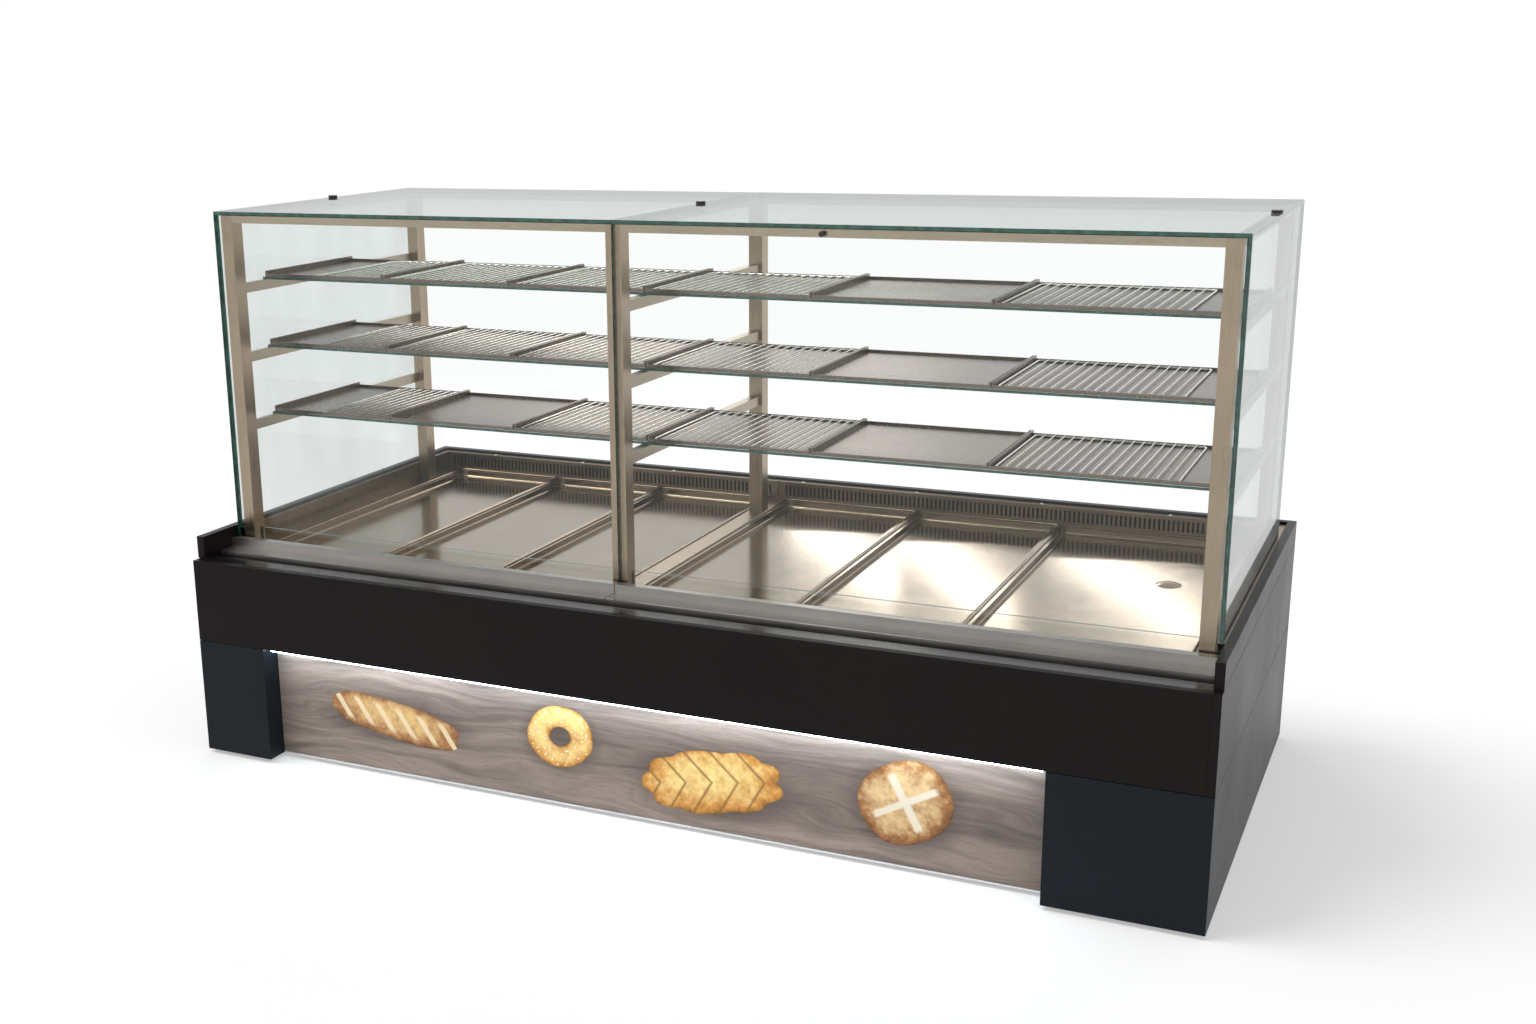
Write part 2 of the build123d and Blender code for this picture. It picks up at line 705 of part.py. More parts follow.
def shelf_tray(section, shelf_z):
    """Add one shelf tray over its stretch of shelf."""
    low_x, high_x = section[0] + shelf_tray_gap / 2, section[1] - shelf_tray_gap / 2
    lip_z = (shelf_z, shelf_z + shelf_tray_lip)
    side_lip_z = (shelf_z, shelf_z + shelf_tray_side_lip)
    block((low_x, high_x), tray_y, (shelf_z, shelf_z + thin_sheet))
    block((low_x, high_x), (tray_y[0], tray_y[0] + shelf_tray_hem), lip_z)
    block((low_x, high_x), (tray_y[1] - shelf_tray_hem, tray_y[1]), lip_z)
    block((low_x, low_x + shelf_tray_lip_width), tray_y, side_lip_z)
    block((high_x - shelf_tray_lip_width, high_x), tray_y, side_lip_z)


for level, shelf_z in zip(shelf_levels, shelf_tops):
    for side, module_sections in shelf_sections.items():
        with BuildPart() as shelf_trays:
            for section in module_sections:
                shelf_tray(section, shelf_z)
            top_edges = shelf_trays.edges().filter_by(Axis.Y).group_by(Axis.Z)[-1]
            fillet(top_edges, radius=shelf_tray_lip_radius)
        keep(shelf_trays, f"shelf_trays_{side}_{level}")


def tray_inside(section):
    """Return the stretch of a shelf tray that a rack can lie in."""
    inset = shelf_tray_gap / 2 + shelf_tray_lip_width + rack_clearance
    return (section[0] + inset, section[1] - inset)


def rack_spans(side, level):
    """Return the stretches of one shelf that carry a wire rack."""
    inside = [tray_inside(section) for section in shelf_sections[side]]
    if side == "right":
        standard = inside[0][1] - inside[0][0]
        return [inside[0], (inside[2][0], inside[2][0] + standard)]
    part_width = (inside[0][1] - inside[0][0]) * rack_part_share
    spans = [(inside[0][1] - part_width, inside[0][1]), inside[1], inside[2]]
    return [spans[0], spans[2]] if level == shelf_levels[0] else spans


rod_inset = shelf_tray_hem + rack_clearance + rack_frame_radius
rod_y = (tray_y[0] + rod_inset, tray_y[1] - rod_inset)


def rack(x_span, shelf_z):
    """Return one wire rack: a rod bent round into a frame, and wires laid over its long sides."""
    low_x, high_x = x_span[0] + rack_frame_radius, x_span[1] - rack_frame_radius
    rod_z = shelf_z + thin_sheet + rack_floor_gap + rack_frame_radius
    corners = [(low_x, rod_y[0], rod_z), (high_x, rod_y[0], rod_z),
               (high_x, rod_y[1], rod_z), (low_x, rod_y[1], rod_z)]
    wire_count = int((high_x - low_x) / rack_wire_pitch) - 1
    wire_step = (high_x - low_x) / (wire_count + 1)
    wire_z = rod_z + rack_frame_radius
    start_y = sum(rod_y) / 2
    with BuildPart() as one_rack:
        with BuildLine() as rod_path:
            FilletPolyline(*corners, radius=rack_corner_radius, close=True)
        with BuildSketch(Plane((low_x, start_y, rod_z), x_dir=(1, 0, 0), z_dir=(0, 1, 0))):
            Circle(rack_frame_radius)
        sweep(path=rod_path.wire())
        with Locations(*[Location((low_x + wire_step * (wire + 1), start_y, wire_z), (90, 0, 0))
                         for wire in range(wire_count)]):
            Cylinder(rack_wire_radius, rod_y[1] - rod_y[0])
    return one_rack.part


for level, shelf_z in zip(shelf_levels, shelf_tops):
    for side in shelf_sections:
        with BuildPart() as racks:
            for x_span in rack_spans(side, level):
                add(rack(x_span, shelf_z))
        keep(racks, f"racks_{side}_{level}")

# Control panel behind a window of the staff side, with cheeks that hold the two rocker switches
thermostat_x = panel_x + knob_x_shift
panel_face_y = board_rear_y
panel_y = (panel_face_y - panel_thickness, panel_face_y)
cheek_y = (panel_face_y, panel_face_y + switch_cheek_height)
axle_y = panel_face_y + (switch_cheek_height + switch_axle_radius) / 2
heat_switch_x = panel_x + switch_x_shift
axle_length = switch_width + 2 * switch_cheek
switch_places = {"heat_switch": heat_switch_x, "light_switch": heat_switch_x + switch_spacing}
with BuildPart() as control_panel:
    block(span(panel_x, panel_width), panel_y, span(panel_z, panel_height))
    with Locations(Plane((thermostat_x, panel_face_y, panel_z), x_dir=(1, 0, 0), z_dir=(0, 1, 0))):
        Cylinder(spindle_radius + spindle_hole_gap, 2 * panel_thickness, mode=Mode.SUBTRACT)
    for switch_x in switch_places.values():
        low_x, high_x = span(switch_x, switch_width)
        for x_span in ((low_x - switch_cheek, low_x), (high_x, high_x + switch_cheek)):
            block(x_span, cheek_y, span(panel_z, switch_length))
        with Locations(Location((switch_x, axle_y, panel_z), (0, 90, 0))):
            Cylinder(switch_axle_radius + switch_axle_gap, axle_length, mode=Mode.SUBTRACT)
keep(control_panel, "control_panel")

for label, switch_x in switch_places.items():
    with BuildPart() as rocker:
        with BuildSketch(Plane.YZ.offset(switch_x)):
            with Locations((axle_y, panel_z)):
                Rectangle(switch_thickness, switch_length, rotation=switch_tilt)
        extrude(amount=switch_width / 2 - switch_side_gap, both=True)
        with Locations(Location((switch_x, axle_y, panel_z), (0, 90, 0))):
            Cylinder(switch_axle_radius, axle_length)
    keep(rocker, label)

knob_plane = Plane((thermostat_x, panel_face_y, panel_z), x_dir=(1, 0, 0), z_dir=(0, 1, 0))
with BuildPart(knob_plane) as thermostat_knob:
    with Locations((0, 0, knob_gap)):
        Cylinder(knob_radius, knob_height, align=(Align.CENTER, Align.CENTER, Align.MIN))
    fillet(thermostat_knob.faces().sort_by(Axis.Y)[-1].edges(), radius=knob_pointer / 2)
    with Locations((0, 0, knob_gap + knob_height)):
        Box(knob_pointer, 2 * knob_radius - 2 * knob_pointer, knob_pointer)
    with Locations((0, 0, knob_gap)):
        Cylinder(spindle_radius, knob_gap + panel_thickness + spindle_reach,
                 align=(Align.CENTER, Align.CENTER, Align.MAX))
keep(thermostat_knob, "thermostat_knob")

# Cable gland, with its flange on the inner face of the rear panel
gland_start_y = board_rear_y - gland_flange
gland_length = rear_y - gland_start_y
from_start = (Align.CENTER, Align.CENTER, Align.MIN)
with BuildPart(Plane((gland_x, gland_start_y, gland_z), x_dir=(1, 0, 0), z_dir=(0, 1, 0))) as power_gland:
    Cylinder(gland_body_radius, gland_length, align=from_start)
    Cylinder(gland_flange_radius, gland_flange, align=from_start)
    Cylinder(gland_bore_radius, gland_length, align=from_start, mode=Mode.SUBTRACT)
keep(power_gland, "power_gland")
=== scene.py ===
"""Looks of the heated pastry display case, in metres and in the frame of its solids.

X runs along the case, the customer side faces -Y and Z is up. Each sub-assembly is a class that gives
its solids a finish and adds the fine pieces that the solids leave out.
"""

import json
import logging
from dataclasses import dataclass
from enum import Enum
from math import cos, pi, radians, sin
from typing import Any, Iterable, Mapping, Sequence, Union

import bmesh
import bpy
import numpy as np
from mathutils import Matrix, Quaternion, Vector

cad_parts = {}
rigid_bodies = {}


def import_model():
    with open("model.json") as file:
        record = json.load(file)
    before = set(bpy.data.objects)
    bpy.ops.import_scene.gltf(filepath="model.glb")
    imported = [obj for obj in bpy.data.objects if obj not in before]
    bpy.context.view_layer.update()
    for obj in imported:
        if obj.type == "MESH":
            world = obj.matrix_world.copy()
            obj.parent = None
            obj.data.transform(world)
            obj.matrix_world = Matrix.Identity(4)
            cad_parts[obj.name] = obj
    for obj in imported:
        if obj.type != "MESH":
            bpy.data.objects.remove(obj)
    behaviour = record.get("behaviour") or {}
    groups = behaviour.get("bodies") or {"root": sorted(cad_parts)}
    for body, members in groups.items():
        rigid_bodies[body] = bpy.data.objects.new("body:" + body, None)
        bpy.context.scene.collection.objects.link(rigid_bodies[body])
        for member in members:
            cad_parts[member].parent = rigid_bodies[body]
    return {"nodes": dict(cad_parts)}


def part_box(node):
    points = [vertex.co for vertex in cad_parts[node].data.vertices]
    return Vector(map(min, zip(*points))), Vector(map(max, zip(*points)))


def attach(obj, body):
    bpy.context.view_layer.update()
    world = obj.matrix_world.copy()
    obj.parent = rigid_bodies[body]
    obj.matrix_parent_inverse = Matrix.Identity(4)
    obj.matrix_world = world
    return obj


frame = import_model()

logging.basicConfig(level=logging.INFO, format="%(message)s")
log = logging.getLogger("pastry_case")

Colour = tuple[float, float, float]
Input = Union[float, Sequence[float], "Signal"]

# A turned piece ends in a ring of this radius, which its cap closes.
TIP_RADIUS = 0.0004
# Edges over this many degrees stay sharp under smooth shading.
SHARP_ANGLE = 40.0


class Run(Enum):
    """The direction in which a sheet or bar was brushed or its grain runs."""

    ALONG = 0
    ACROSS = 1
    UPRIGHT = 2

    def stretch(self, fine: float, slow: float) -> tuple[float, float, float]:
        """Return the scale of a pattern that is slow along the run and fine across it.

        Args:
            fine: Pattern scale across the run, per metre.
            slow: Pattern scale along the run, per metre.

        Returns:
            The three scales for x, y and z.
        """
        scales = [fine, fine, fine]
        scales[self.value] = slow
        return (scales[0], scales[1], scales[2])


class Signal:
    """A value that varies over a surface; Python's operators add its Math nodes."""

    def __init__(self, graph: "Graph", socket: bpy.types.NodeSocket) -> None:
        """Keep the graph and the output socket that carries the value."""
        self.graph = graph
        self.socket = socket

    def maths(self, operation: str, *values: Input, clamp: bool = False) -> "Signal":
        """Add one Math node.

        Args:
            operation: The node's operation.
            values: Its numbers or signals, in order.
            clamp: Whether the result is held between 0 and 1.

        Returns:
            The node's result.
        """
        settings = {"operation": operation, "use_clamp": clamp}
        return self.graph.node("ShaderNodeMath", settings, dict(enumerate(values)))

    def __add__(self, other: Input) -> "Signal":
        """Return the sum."""
        return self.maths("ADD", self, other)

    def __radd__(self, other: Input) -> "Signal":
        """Return the sum with the sides swapped."""
        return self.maths("ADD", other, self)

    def __sub__(self, other: Input) -> "Signal":
        """Return the difference."""
        return self.maths("SUBTRACT", self, other)

    def __rsub__(self, other: Input) -> "Signal":
        """Return the difference with the sides swapped."""
        return self.maths("SUBTRACT", other, self)

    def __mul__(self, other: Input) -> "Signal":
        """Return the product."""
        return self.maths("MULTIPLY", self, other)

    def __truediv__(self, other: Input) -> "Signal":
        """Return the quotient."""
        return self.maths("DIVIDE", self, other)

    def __pow__(self, other: Input) -> "Signal":
        """Return the power."""
        return self.maths("POWER", self, other)

    def __abs__(self) -> "Signal":
        """Return the size without the sign."""
        return self.maths("ABSOLUTE", self)

    def clamp(self) -> "Signal":
        """Return the value held between 0 and 1."""
        return self.maths("ADD", self, 0.0, clamp=True)

    def root(self) -> "Signal":
        """Return the square root of what lies above zero."""
        return self.maths("SQRT", self.maths("MAXIMUM", self, 0.0))

    def above(self, limit: float, softness: float) -> "Signal":
        """Return 1 above a limit and 0 below it, with a soft edge of the given width."""
        return ((self - limit) / softness).clamp()

    def larger(self, other: Input) -> "Signal":
        """Return the larger of two values."""
        return self.maths("MAXIMUM", self, other)

    def repeat(self, pitch: float) -> "Signal":
        """Return the place within a repeat of the given pitch, from 0 to 1."""
        return self.maths("FRACT", self / pitch)


class Graph:
    """The node tree of one material or of the world."""

    def __init__(self, tree: bpy.types.NodeTree) -> None:
        """Start with an empty tree."""
        self.tree = tree
        tree.nodes.clear()

    def node(
        self,
        kind: str,
        settings: Mapping[str, Any] | None = None,
        inputs: Mapping[Any, Input] | None = None,
        output: Any = 0,
    ) -> Signal:
        """Add one node.

        Args:
            kind: The node's type.
            settings: Its settings, and under "stops" the places and colours of a ramp.
            inputs: Values or signals by socket name or number.
            output: The name or number of the output to return.

        Returns:
            The chosen output.
        """
        made = self.tree.nodes.new(kind)
        for name, value in (settings or {}).items():
            if name == "stops":
                ramp = made.color_ramp
                while len(ramp.elements) < len(value):
                    ramp.elements.new(0.5)
                for element, (place, colour) in zip(ramp.elements, value):
                    element.position = place
                    element.color = (*colour, 1.0)
            else:
                setattr(made, name, value)
        for name, value in (inputs or {}).items():
            socket = made.inputs[name]
            if isinstance(value, Signal):
                self.tree.links.new(value.socket, socket)
            elif isinstance(value, tuple) and len(value) == 3 and socket.type == "RGBA":
                socket.default_value = (*value, 1.0)
            else:
                socket.default_value = value
        return Signal(self, made.outputs[output])

    def place(self) -> Signal:
        """Return the point on the object, in metres."""
        return self.node("ShaderNodeTexCoord", output="Object")

    def split(self, vector: Signal) -> tuple[Signal, Signal, Signal]:
        """Return the three parts of a vector."""
        parts = self.tree.nodes.new("ShaderNodeSeparateXYZ")
        self.tree.links.new(vector.socket, parts.inputs[0])
        x, y, z = (Signal(self, part) for part in parts.outputs)
        return (x, y, z)

    def stretch(self, vector: Signal, scales: Sequence[float]) -> Signal:
        """Return a vector with each part scaled on its own."""
        inputs = {0: vector, 1: tuple(scales)}
        return self.node("ShaderNodeVectorMath", {"operation": "MULTIPLY"}, inputs)

    def noise(
        self, vector: Signal, scale: float, detail: float = 3.0, roughness: float = 0.55
    ) -> Signal:
        """Return smooth noise around a half.

        Args:
            vector: The point to read it at.
            scale: How fine it is, per metre.
            detail: How many finer layers it has.
            roughness: How strong those layers are.

        Returns:
            The noise, from 0 to 1.
        """
        inputs = {"Vector": vector, "Scale": scale, "Detail": detail, "Roughness": roughness}
        return self.node("ShaderNodeTexNoise", {}, inputs)

    def mix(self, first: Input, second: Input, share: Input) -> Signal:
        """Return a colour between two colours, the second by its share."""
        return self.node("ShaderNodeMix", {"data_type": "RGBA"}, {0: share, 6: first, 7: second}, 2)

    def shades(self, colour: Colour, darker: float, lighter: float, share: Input) -> Signal:
        """Return a colour between two shades of one colour.

        Args:
            colour: The colour.
            darker: The factor of its darker shade.
            lighter: The factor of its lighter shade.
            share: How much of the lighter shade shows.

        Returns:
            The mixed colour.
        """
        return self.mix(shade(colour, darker), shade(colour, lighter), share)

    def bump(self, height: Signal, strength: float, distance: float) -> Signal:
        """Return the normal of a surface with fine relief."""
        inputs = {"Strength": strength, "Distance": distance, "Height": height}
        return self.node("ShaderNodeBump", {}, inputs)

    def surface(self, **inputs: Input) -> Signal:
        """Return a Principled shader, with spaces written as underscores in the socket names."""
        named = {name.replace("_", " "): value for name, value in inputs.items()}
        return self.node("ShaderNodeBsdfPrincipled", {}, named)

    def blend(self, first: Signal, second: Signal, share: Input) -> Signal:
        """Return a shader between two shaders, the second by its share."""
        return self.node("ShaderNodeMixShader", {}, {0: share, 1: first, 2: second})

    def close(self, shader: Signal, kind: str = "ShaderNodeOutputMaterial") -> None:
        """Send a shader to the output node."""
        made = self.tree.nodes.new(kind)
        self.tree.links.new(shader.socket, made.inputs["Surface"])


def shade(colour: Colour, factor: float) -> Colour:
    """Return a colour multiplied by a factor, with no part above 1."""
    red, green, blue = (min(part * factor, 1.0) for part in colour)
    return (red, green, blue)


@dataclass(frozen=True)
class Finish:
    """What every finish has: a name and the record's slot that it belongs to. Scales are per metre."""

    name: str
    slot: str

    def graph(self) -> Graph:
        """Return the empty graph of a new material."""
        material = bpy.data.materials.new(self.label())
        material.use_nodes = True
        return Graph(material.node_tree)

    def label(self) -> str:
        """Return the material's name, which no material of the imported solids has."""
        return f"looks_{self.name}"

    def paint(self, graph: Graph) -> Signal:
        """Build the nodes and return the shader. Each finish has its own."""
        raise NotImplementedError

    def make(self) -> bpy.types.Material:
        """Return the finished material, made once."""
        if self.label() not in bpy.data.materials:
            graph = self.graph()
            graph.close(self.paint(graph))
        return bpy.data.materials[self.label()]


@dataclass(frozen=True)
class Laminate(Finish):
    """Dark laminate board with a fine pearl texture and faint cloudy marks."""

    colour: Colour
    roughness: float = 0.42
    gloss: float = 0.3
    cloud: float = 0.35
    cloud_scale: float = 3.2
    pearl_scale: float = 1400.0

    def paint(self, graph: Graph) -> Signal:
        """Mix two near shades by slow clouds, with a pearl relief about half a millimetre wide."""
        place = graph.place()
        clouds = graph.noise(place, self.cloud_scale, 4.0)
        pearl = graph.noise(place, self.pearl_scale, 1.0)
        share = ((clouds - 0.5) * (4.0 * self.cloud) + 0.5).clamp()
        colour = graph.shades(self.colour, 0.8, 1.25, share)
        roughness = self.roughness + (clouds - 0.5) * 0.16
        return graph.surface(
            Base_Color=colour,
            Roughness=roughness,
            Specular_IOR_Level=self.gloss,
            Normal=graph.bump(pearl, 0.12, 0.0002),
        )


@dataclass(frozen=True)
class Board(Finish):
    """Pressed board for the hidden carcass, with fine flakes."""

    colour: Colour
    flake_scale: float = 260.0

    def paint(self, graph: Graph) -> Signal:
        """Scatter pale and dark flakes of a few millimetres over the board's colour."""
        inputs = {"Vector": graph.place(), "Scale": self.flake_scale}
        tone = graph.split(graph.node("ShaderNodeTexVoronoi", {}, inputs, "Color"))[0]
        colour = graph.shades(self.colour, 0.75, 1.2, tone)
        return graph.surface(Base_Color=colour, Roughness=0.7, Normal=graph.bump(tone, 0.15, 0.0002))


@dataclass(frozen=True)
class Steel(Finish):
    """Brushed or satin sheet steel with fine lines along its run and slow clouds of tone."""

    colour: Colour
    run: Run
    roughness: float = 0.3
    line: float = 0.5
    cloud: float = 0.5
    relief: float = 0.12
    line_scales: tuple[float, float] = (1500.0, 9.0)
    smear_scales: tuple[float, float] = (60.0, 5.0)
    cloud_scale: float = 4.0

    def paint(self, graph: Graph) -> Signal:
        """Stretch one noise into brush lines and lay slower smears and clouds over them."""
        place = graph.place()
        lines = graph.noise(graph.stretch(place, self.run.stretch(*self.line_scales)), 1.0, 2.0)
        smears = graph.noise(graph.stretch(place, self.run.stretch(*self.smear_scales)), 1.0, 3.0)
        clouds = graph.noise(place, self.cloud_scale, 3.0)
        brushed = (lines - 0.5) * self.line + (smears - 0.5) * (0.5 * self.line)
        tone = brushed + (clouds - 0.5) * self.cloud
        colour = graph.shades(self.colour, 0.72, 1.25, (tone * 1.6 + 0.5).clamp())
        roughness = self.roughness + (smears - 0.5) * 0.14 + (lines - 0.5) * 0.1
        return graph.surface(
            Base_Color=colour,
            Metallic=1.0,
            Roughness=roughness,
            Normal=graph.bump(lines, self.relief, 0.0002),
        )


@dataclass(frozen=True)
class SatinTray(Finish):
    """Satin tray steel: rolled along its length, with wiping marks and small scratches."""

    colour: Colour
    roughness: float = 0.34
    roll_scales: tuple[float, float] = (900.0, 14.0)
    wipe_scale: float = 9.0
    wave_scale: float = 3.5
    scratch_turn: float = 0.7
    scratch_scales: tuple[float, float, float] = (420.0, 7.0, 40.0)

    def paint(self, graph: Graph) -> Signal:
        """Lay wiping marks and a few slanting scratches over fine rolling lines and slow waves."""
        place = graph.place()
        rolled = graph.noise(graph.stretch(place, Run.ACROSS.stretch(*self.roll_scales)), 1.0, 2.0)
        wiped = graph.noise(place, self.wipe_scale, 5.0, 0.7)
        waves = graph.noise(place, self.wave_scale, 1.0)
        inputs = {"Vector": place, "Rotation": (0.0, 0.0, self.scratch_turn)}
        slanted = graph.stretch(graph.node("ShaderNodeMapping", {}, inputs), self.scratch_scales)
        scratch = graph.noise(slanted, 1.0, 1.0).above(0.73, 0.03)
        share = ((rolled - 0.5) * 0.5 + (wiped - 0.5) * 1.1 + 0.5).clamp()
        colour = graph.shades(self.colour, 0.78, 1.18, share)
        roughness = self.roughness + (wiped - 0.5) * 0.14 + scratch * 0.06
        relief = graph.bump(waves * 0.5 - scratch * 0.03, 0.3, 0.0009)
        return graph.surface(Base_Color=colour, Metallic=1.0, Roughness=roughness, Normal=relief)


@dataclass(frozen=True)
class Plated(Finish):
    """Bright plated wire with slight dulling."""

    colour: Colour
    roughness: float = 0.14
    patch_scale: float = 60.0

    def paint(self, graph: Graph) -> Signal:
        """Dull the plating in small patches and add a faint ripple."""
        patches = graph.noise(graph.place(), self.patch_scale, 3.0)
        colour = graph.shades(self.colour, 0.8, 1.0, patches.above(0.35, 0.3))
        roughness = self.roughness + (patches - 0.5) * 0.2
        ripple = graph.bump(patches, 0.05, 0.0003)
        return graph.surface(Base_Color=colour, Metallic=1.0, Roughness=roughness, Normal=ripple)


@dataclass(frozen=True)
class Glass(Finish):
    """Clear float glass: a thin tint, a gloss that grows at a glance, and dark green edges."""

    face: Run
    tint: Colour = (0.972, 0.984, 0.979)
    gloss: Colour = (0.72, 0.78, 0.76)
    edge: Colour = (0.012, 0.055, 0.042)
    reflection: float = 1.0
    haze: float = 0.0
    film: Colour = (0.8, 0.83, 0.82)
    straight_share: float = 0.04
    glancing_share: float = 0.9
    glancing_power: float = 5.0

    def paint(self, graph: Graph) -> Signal:
        """Blend clear and glossy on the two large faces; the four thin faces are deep green.

        The share of gloss is the straight share, plus the glancing share times a power of the facing
        value, which goes from 0 straight on to 1 at a glance. The reflection scales the whole.
        """
        place = graph.place()
        normal = graph.split(graph.node("ShaderNodeNewGeometry", output="Normal"))
        thin = 1.0 - abs(normal[self.face.value]).above(0.5, 0.2)
        streaks = graph.noise(graph.stretch(place, (6.0, 6.0, 2.0)), 1.0, 3.0)
        clear = graph.node("ShaderNodeBsdfTransparent", {}, {"Color": self.tint})
        wiped = 0.02 + streaks * 0.03
        mirror = graph.surface(Base_Color=self.gloss, Metallic=1.0, Roughness=wiped)
        film = graph.surface(Base_Color=self.film, Roughness=0.6)
        facing = graph.node("ShaderNodeLayerWeight", {}, {"Blend": 0.5}, "Facing")
        share = facing**self.glancing_power * self.glancing_share + self.straight_share
        shine = graph.blend(clear, mirror, share * self.reflection)
        hazy = graph.blend(shine, film, (streaks * self.haze).clamp())
        depth = graph.noise(place, 45.0, 2.0)
        green = graph.shades(self.edge, 1.0, 2.4, depth.above(0.4, 0.3))
        cut = graph.surface(Base_Color=green, Roughness=0.12, Specular_IOR_Level=0.6)
        return graph.blend(hazy, cut, thin)


@dataclass(frozen=True)
class Plastic(Finish):
    """Moulded plastic with a fine spark texture."""

    colour: Colour
    roughness: float = 0.45
    spark_scale: float = 2600.0
    wear_scale: float = 35.0

    def paint(self, graph: Graph) -> Signal:
        """Give the moulding two near shades and a spark relief under half a millimetre wide."""
        place = graph.place()
        spark = graph.noise(place, self.spark_scale, 2.0)
        worn = graph.noise(place, self.wear_scale, 3.0)
        colour = graph.shades(self.colour, 0.8, 1.35, worn.above(0.3, 0.5))
        roughness = self.roughness + (worn - 0.5) * 0.2
        relief = graph.bump(spark, 0.2, 0.0001)
        return graph.surface(Base_Color=colour, Roughness=roughness, Normal=relief)


@dataclass(frozen=True)
class LightLens(Finish):
    """The frosted cover of the light strip, a little brighter over each diode."""

    colour: Colour = (0.70, 0.86, 1.0)
    strength: float = 22.0
    diode_pitch: float = 0.0333
    cover: Colour = (0.9, 0.92, 0.95)

    def paint(self, graph: Graph) -> Signal:
        """Brighten the cover in a repeat along the strip; the light is cool white."""
        along = graph.split(graph.place())[0]
        near = 1.0 - abs(along.repeat(self.diode_pitch) - 0.5) * 2.0
        return graph.surface(
            Base_Color=self.cover,
            Roughness=0.5,
            Emission_Color=graph.shades(self.colour, 0.85, 1.0, near),
            Emission_Strength=self.strength,
        )


class Bake(Enum):
    """The forms of the printed baked pieces."""

    STICK = "stick"
    RING = "ring"
    BUN = "bun"
    BRAID = "braid"


@dataclass(frozen=True)
class BakedPrint(Finish):
    """One baked piece printed on the panel. Its rim attribute is 0 in the middle and 1 at the edge."""

    form: Bake
    middle: tuple[float, float]
    half: tuple[float, float]
    turn: float
    crust: Colour
    pale: Colour
    crumb_scale: float = 130.0
    blister_scale: float = 38.0
    seed_scale: float = 105.0

    def paint(self, graph: Graph) -> Signal:
        """Shade a round crust and mark it with what belongs to its form.

        The crust's height is the root of one less the rim squared. Crumbs and blisters break it up.
        """
        place = graph.place()
        rim = graph.node("ShaderNodeAttribute", {"attribute_name": "rim"}, {}, "Fac")
        x, _, z = graph.split(place)
        across, up = x - self.middle[0], z - self.middle[1]
        c, s = cos(self.turn), sin(self.turn)
        u = (across * c + up * s) / self.half[0]
        v = (up * c - across * s) / self.half[1]
        height = (1.0 - rim * rim).root()
        crumb = graph.noise(place, self.crumb_scale, 6.0, 0.7)
        blister = graph.noise(place, self.blister_scale, 3.0, 0.6)
        uneven = (crumb - 0.5) * 0.5 + (blister - 0.5) * 0.9
        tone = (height * 0.62 + uneven + v * 0.12 + 0.1).clamp()
        burnt, bright = shade(self.crust, 0.3), shade(self.pale, 1.3)
        stops = [(0.0, burnt), (0.35, self.crust), (0.72, self.pale), (1.0, bright)]
        colour = graph.node("ShaderNodeValToRGB", {"stops": stops}, {0: tone})
        if self.form is Bake.STICK:
            cut = 1.0 - abs((u * 3.0 + v * 0.7).repeat(1.0) - 0.5).above(0.12, 0.06)
            colour = graph.mix(colour, (0.82, 0.66, 0.42), cut * (1.0 - abs(v).above(0.5, 0.25)) * 0.85)
        elif self.form is Bake.BUN:
            cross = (1.0 - abs(u).above(0.06, 0.05)).larger(1.0 - abs(v).above(0.06, 0.05))
            colour = graph.mix(colour, (0.80, 0.70, 0.54), cross * (1.0 - rim.above(0.7, 0.1)))
        elif self.form is Bake.RING:
            inputs = {"Vector": place, "Scale": self.seed_scale}
            cells = graph.node("ShaderNodeTexVoronoi", {}, inputs, "Distance")
            seeds = (1.0 - cells.above(0.2, 0.06)) * height.above(0.5, 0.1)
            colour = graph.mix(colour, (0.88, 0.79, 0.60), seeds)
        else:
            strand = abs((u * 2.6 + abs(v) * 0.9).repeat(1.0) - 0.5) * 2.0
            colour = graph.mix(colour, shade(self.crust, 0.42), strand.above(0.80, 0.18) * 0.85)
        return graph.surface(Base_Color=colour, Roughness=0.42, Specular_IOR_Level=0.3)


GOLDEN, BROWN = (0.58, 0.25, 0.045), (0.33, 0.14, 0.045)
BAKED = (
    BakedPrint("print_stick", "graphic_print", Bake.STICK, (-0.70, 0.150), (0.185, 0.048), -0.14, BROWN,
               (0.66, 0.42, 0.17)),
    BakedPrint("print_ring", "graphic_print", Bake.RING, (-0.235, 0.180), (0.088, 0.076), 0.2, GOLDEN,
               (0.84, 0.56, 0.20)),
    BakedPrint("print_braid", "graphic_print", Bake.BRAID, (0.155, 0.130), (0.170, 0.074), 0.16, GOLDEN,
               (0.86, 0.60, 0.22)),
    BakedPrint("print_bun", "graphic_print", Bake.BUN, (0.610, 0.160), (0.108, 0.094), 0.5, BROWN,
               (0.72, 0.49, 0.24)),
)


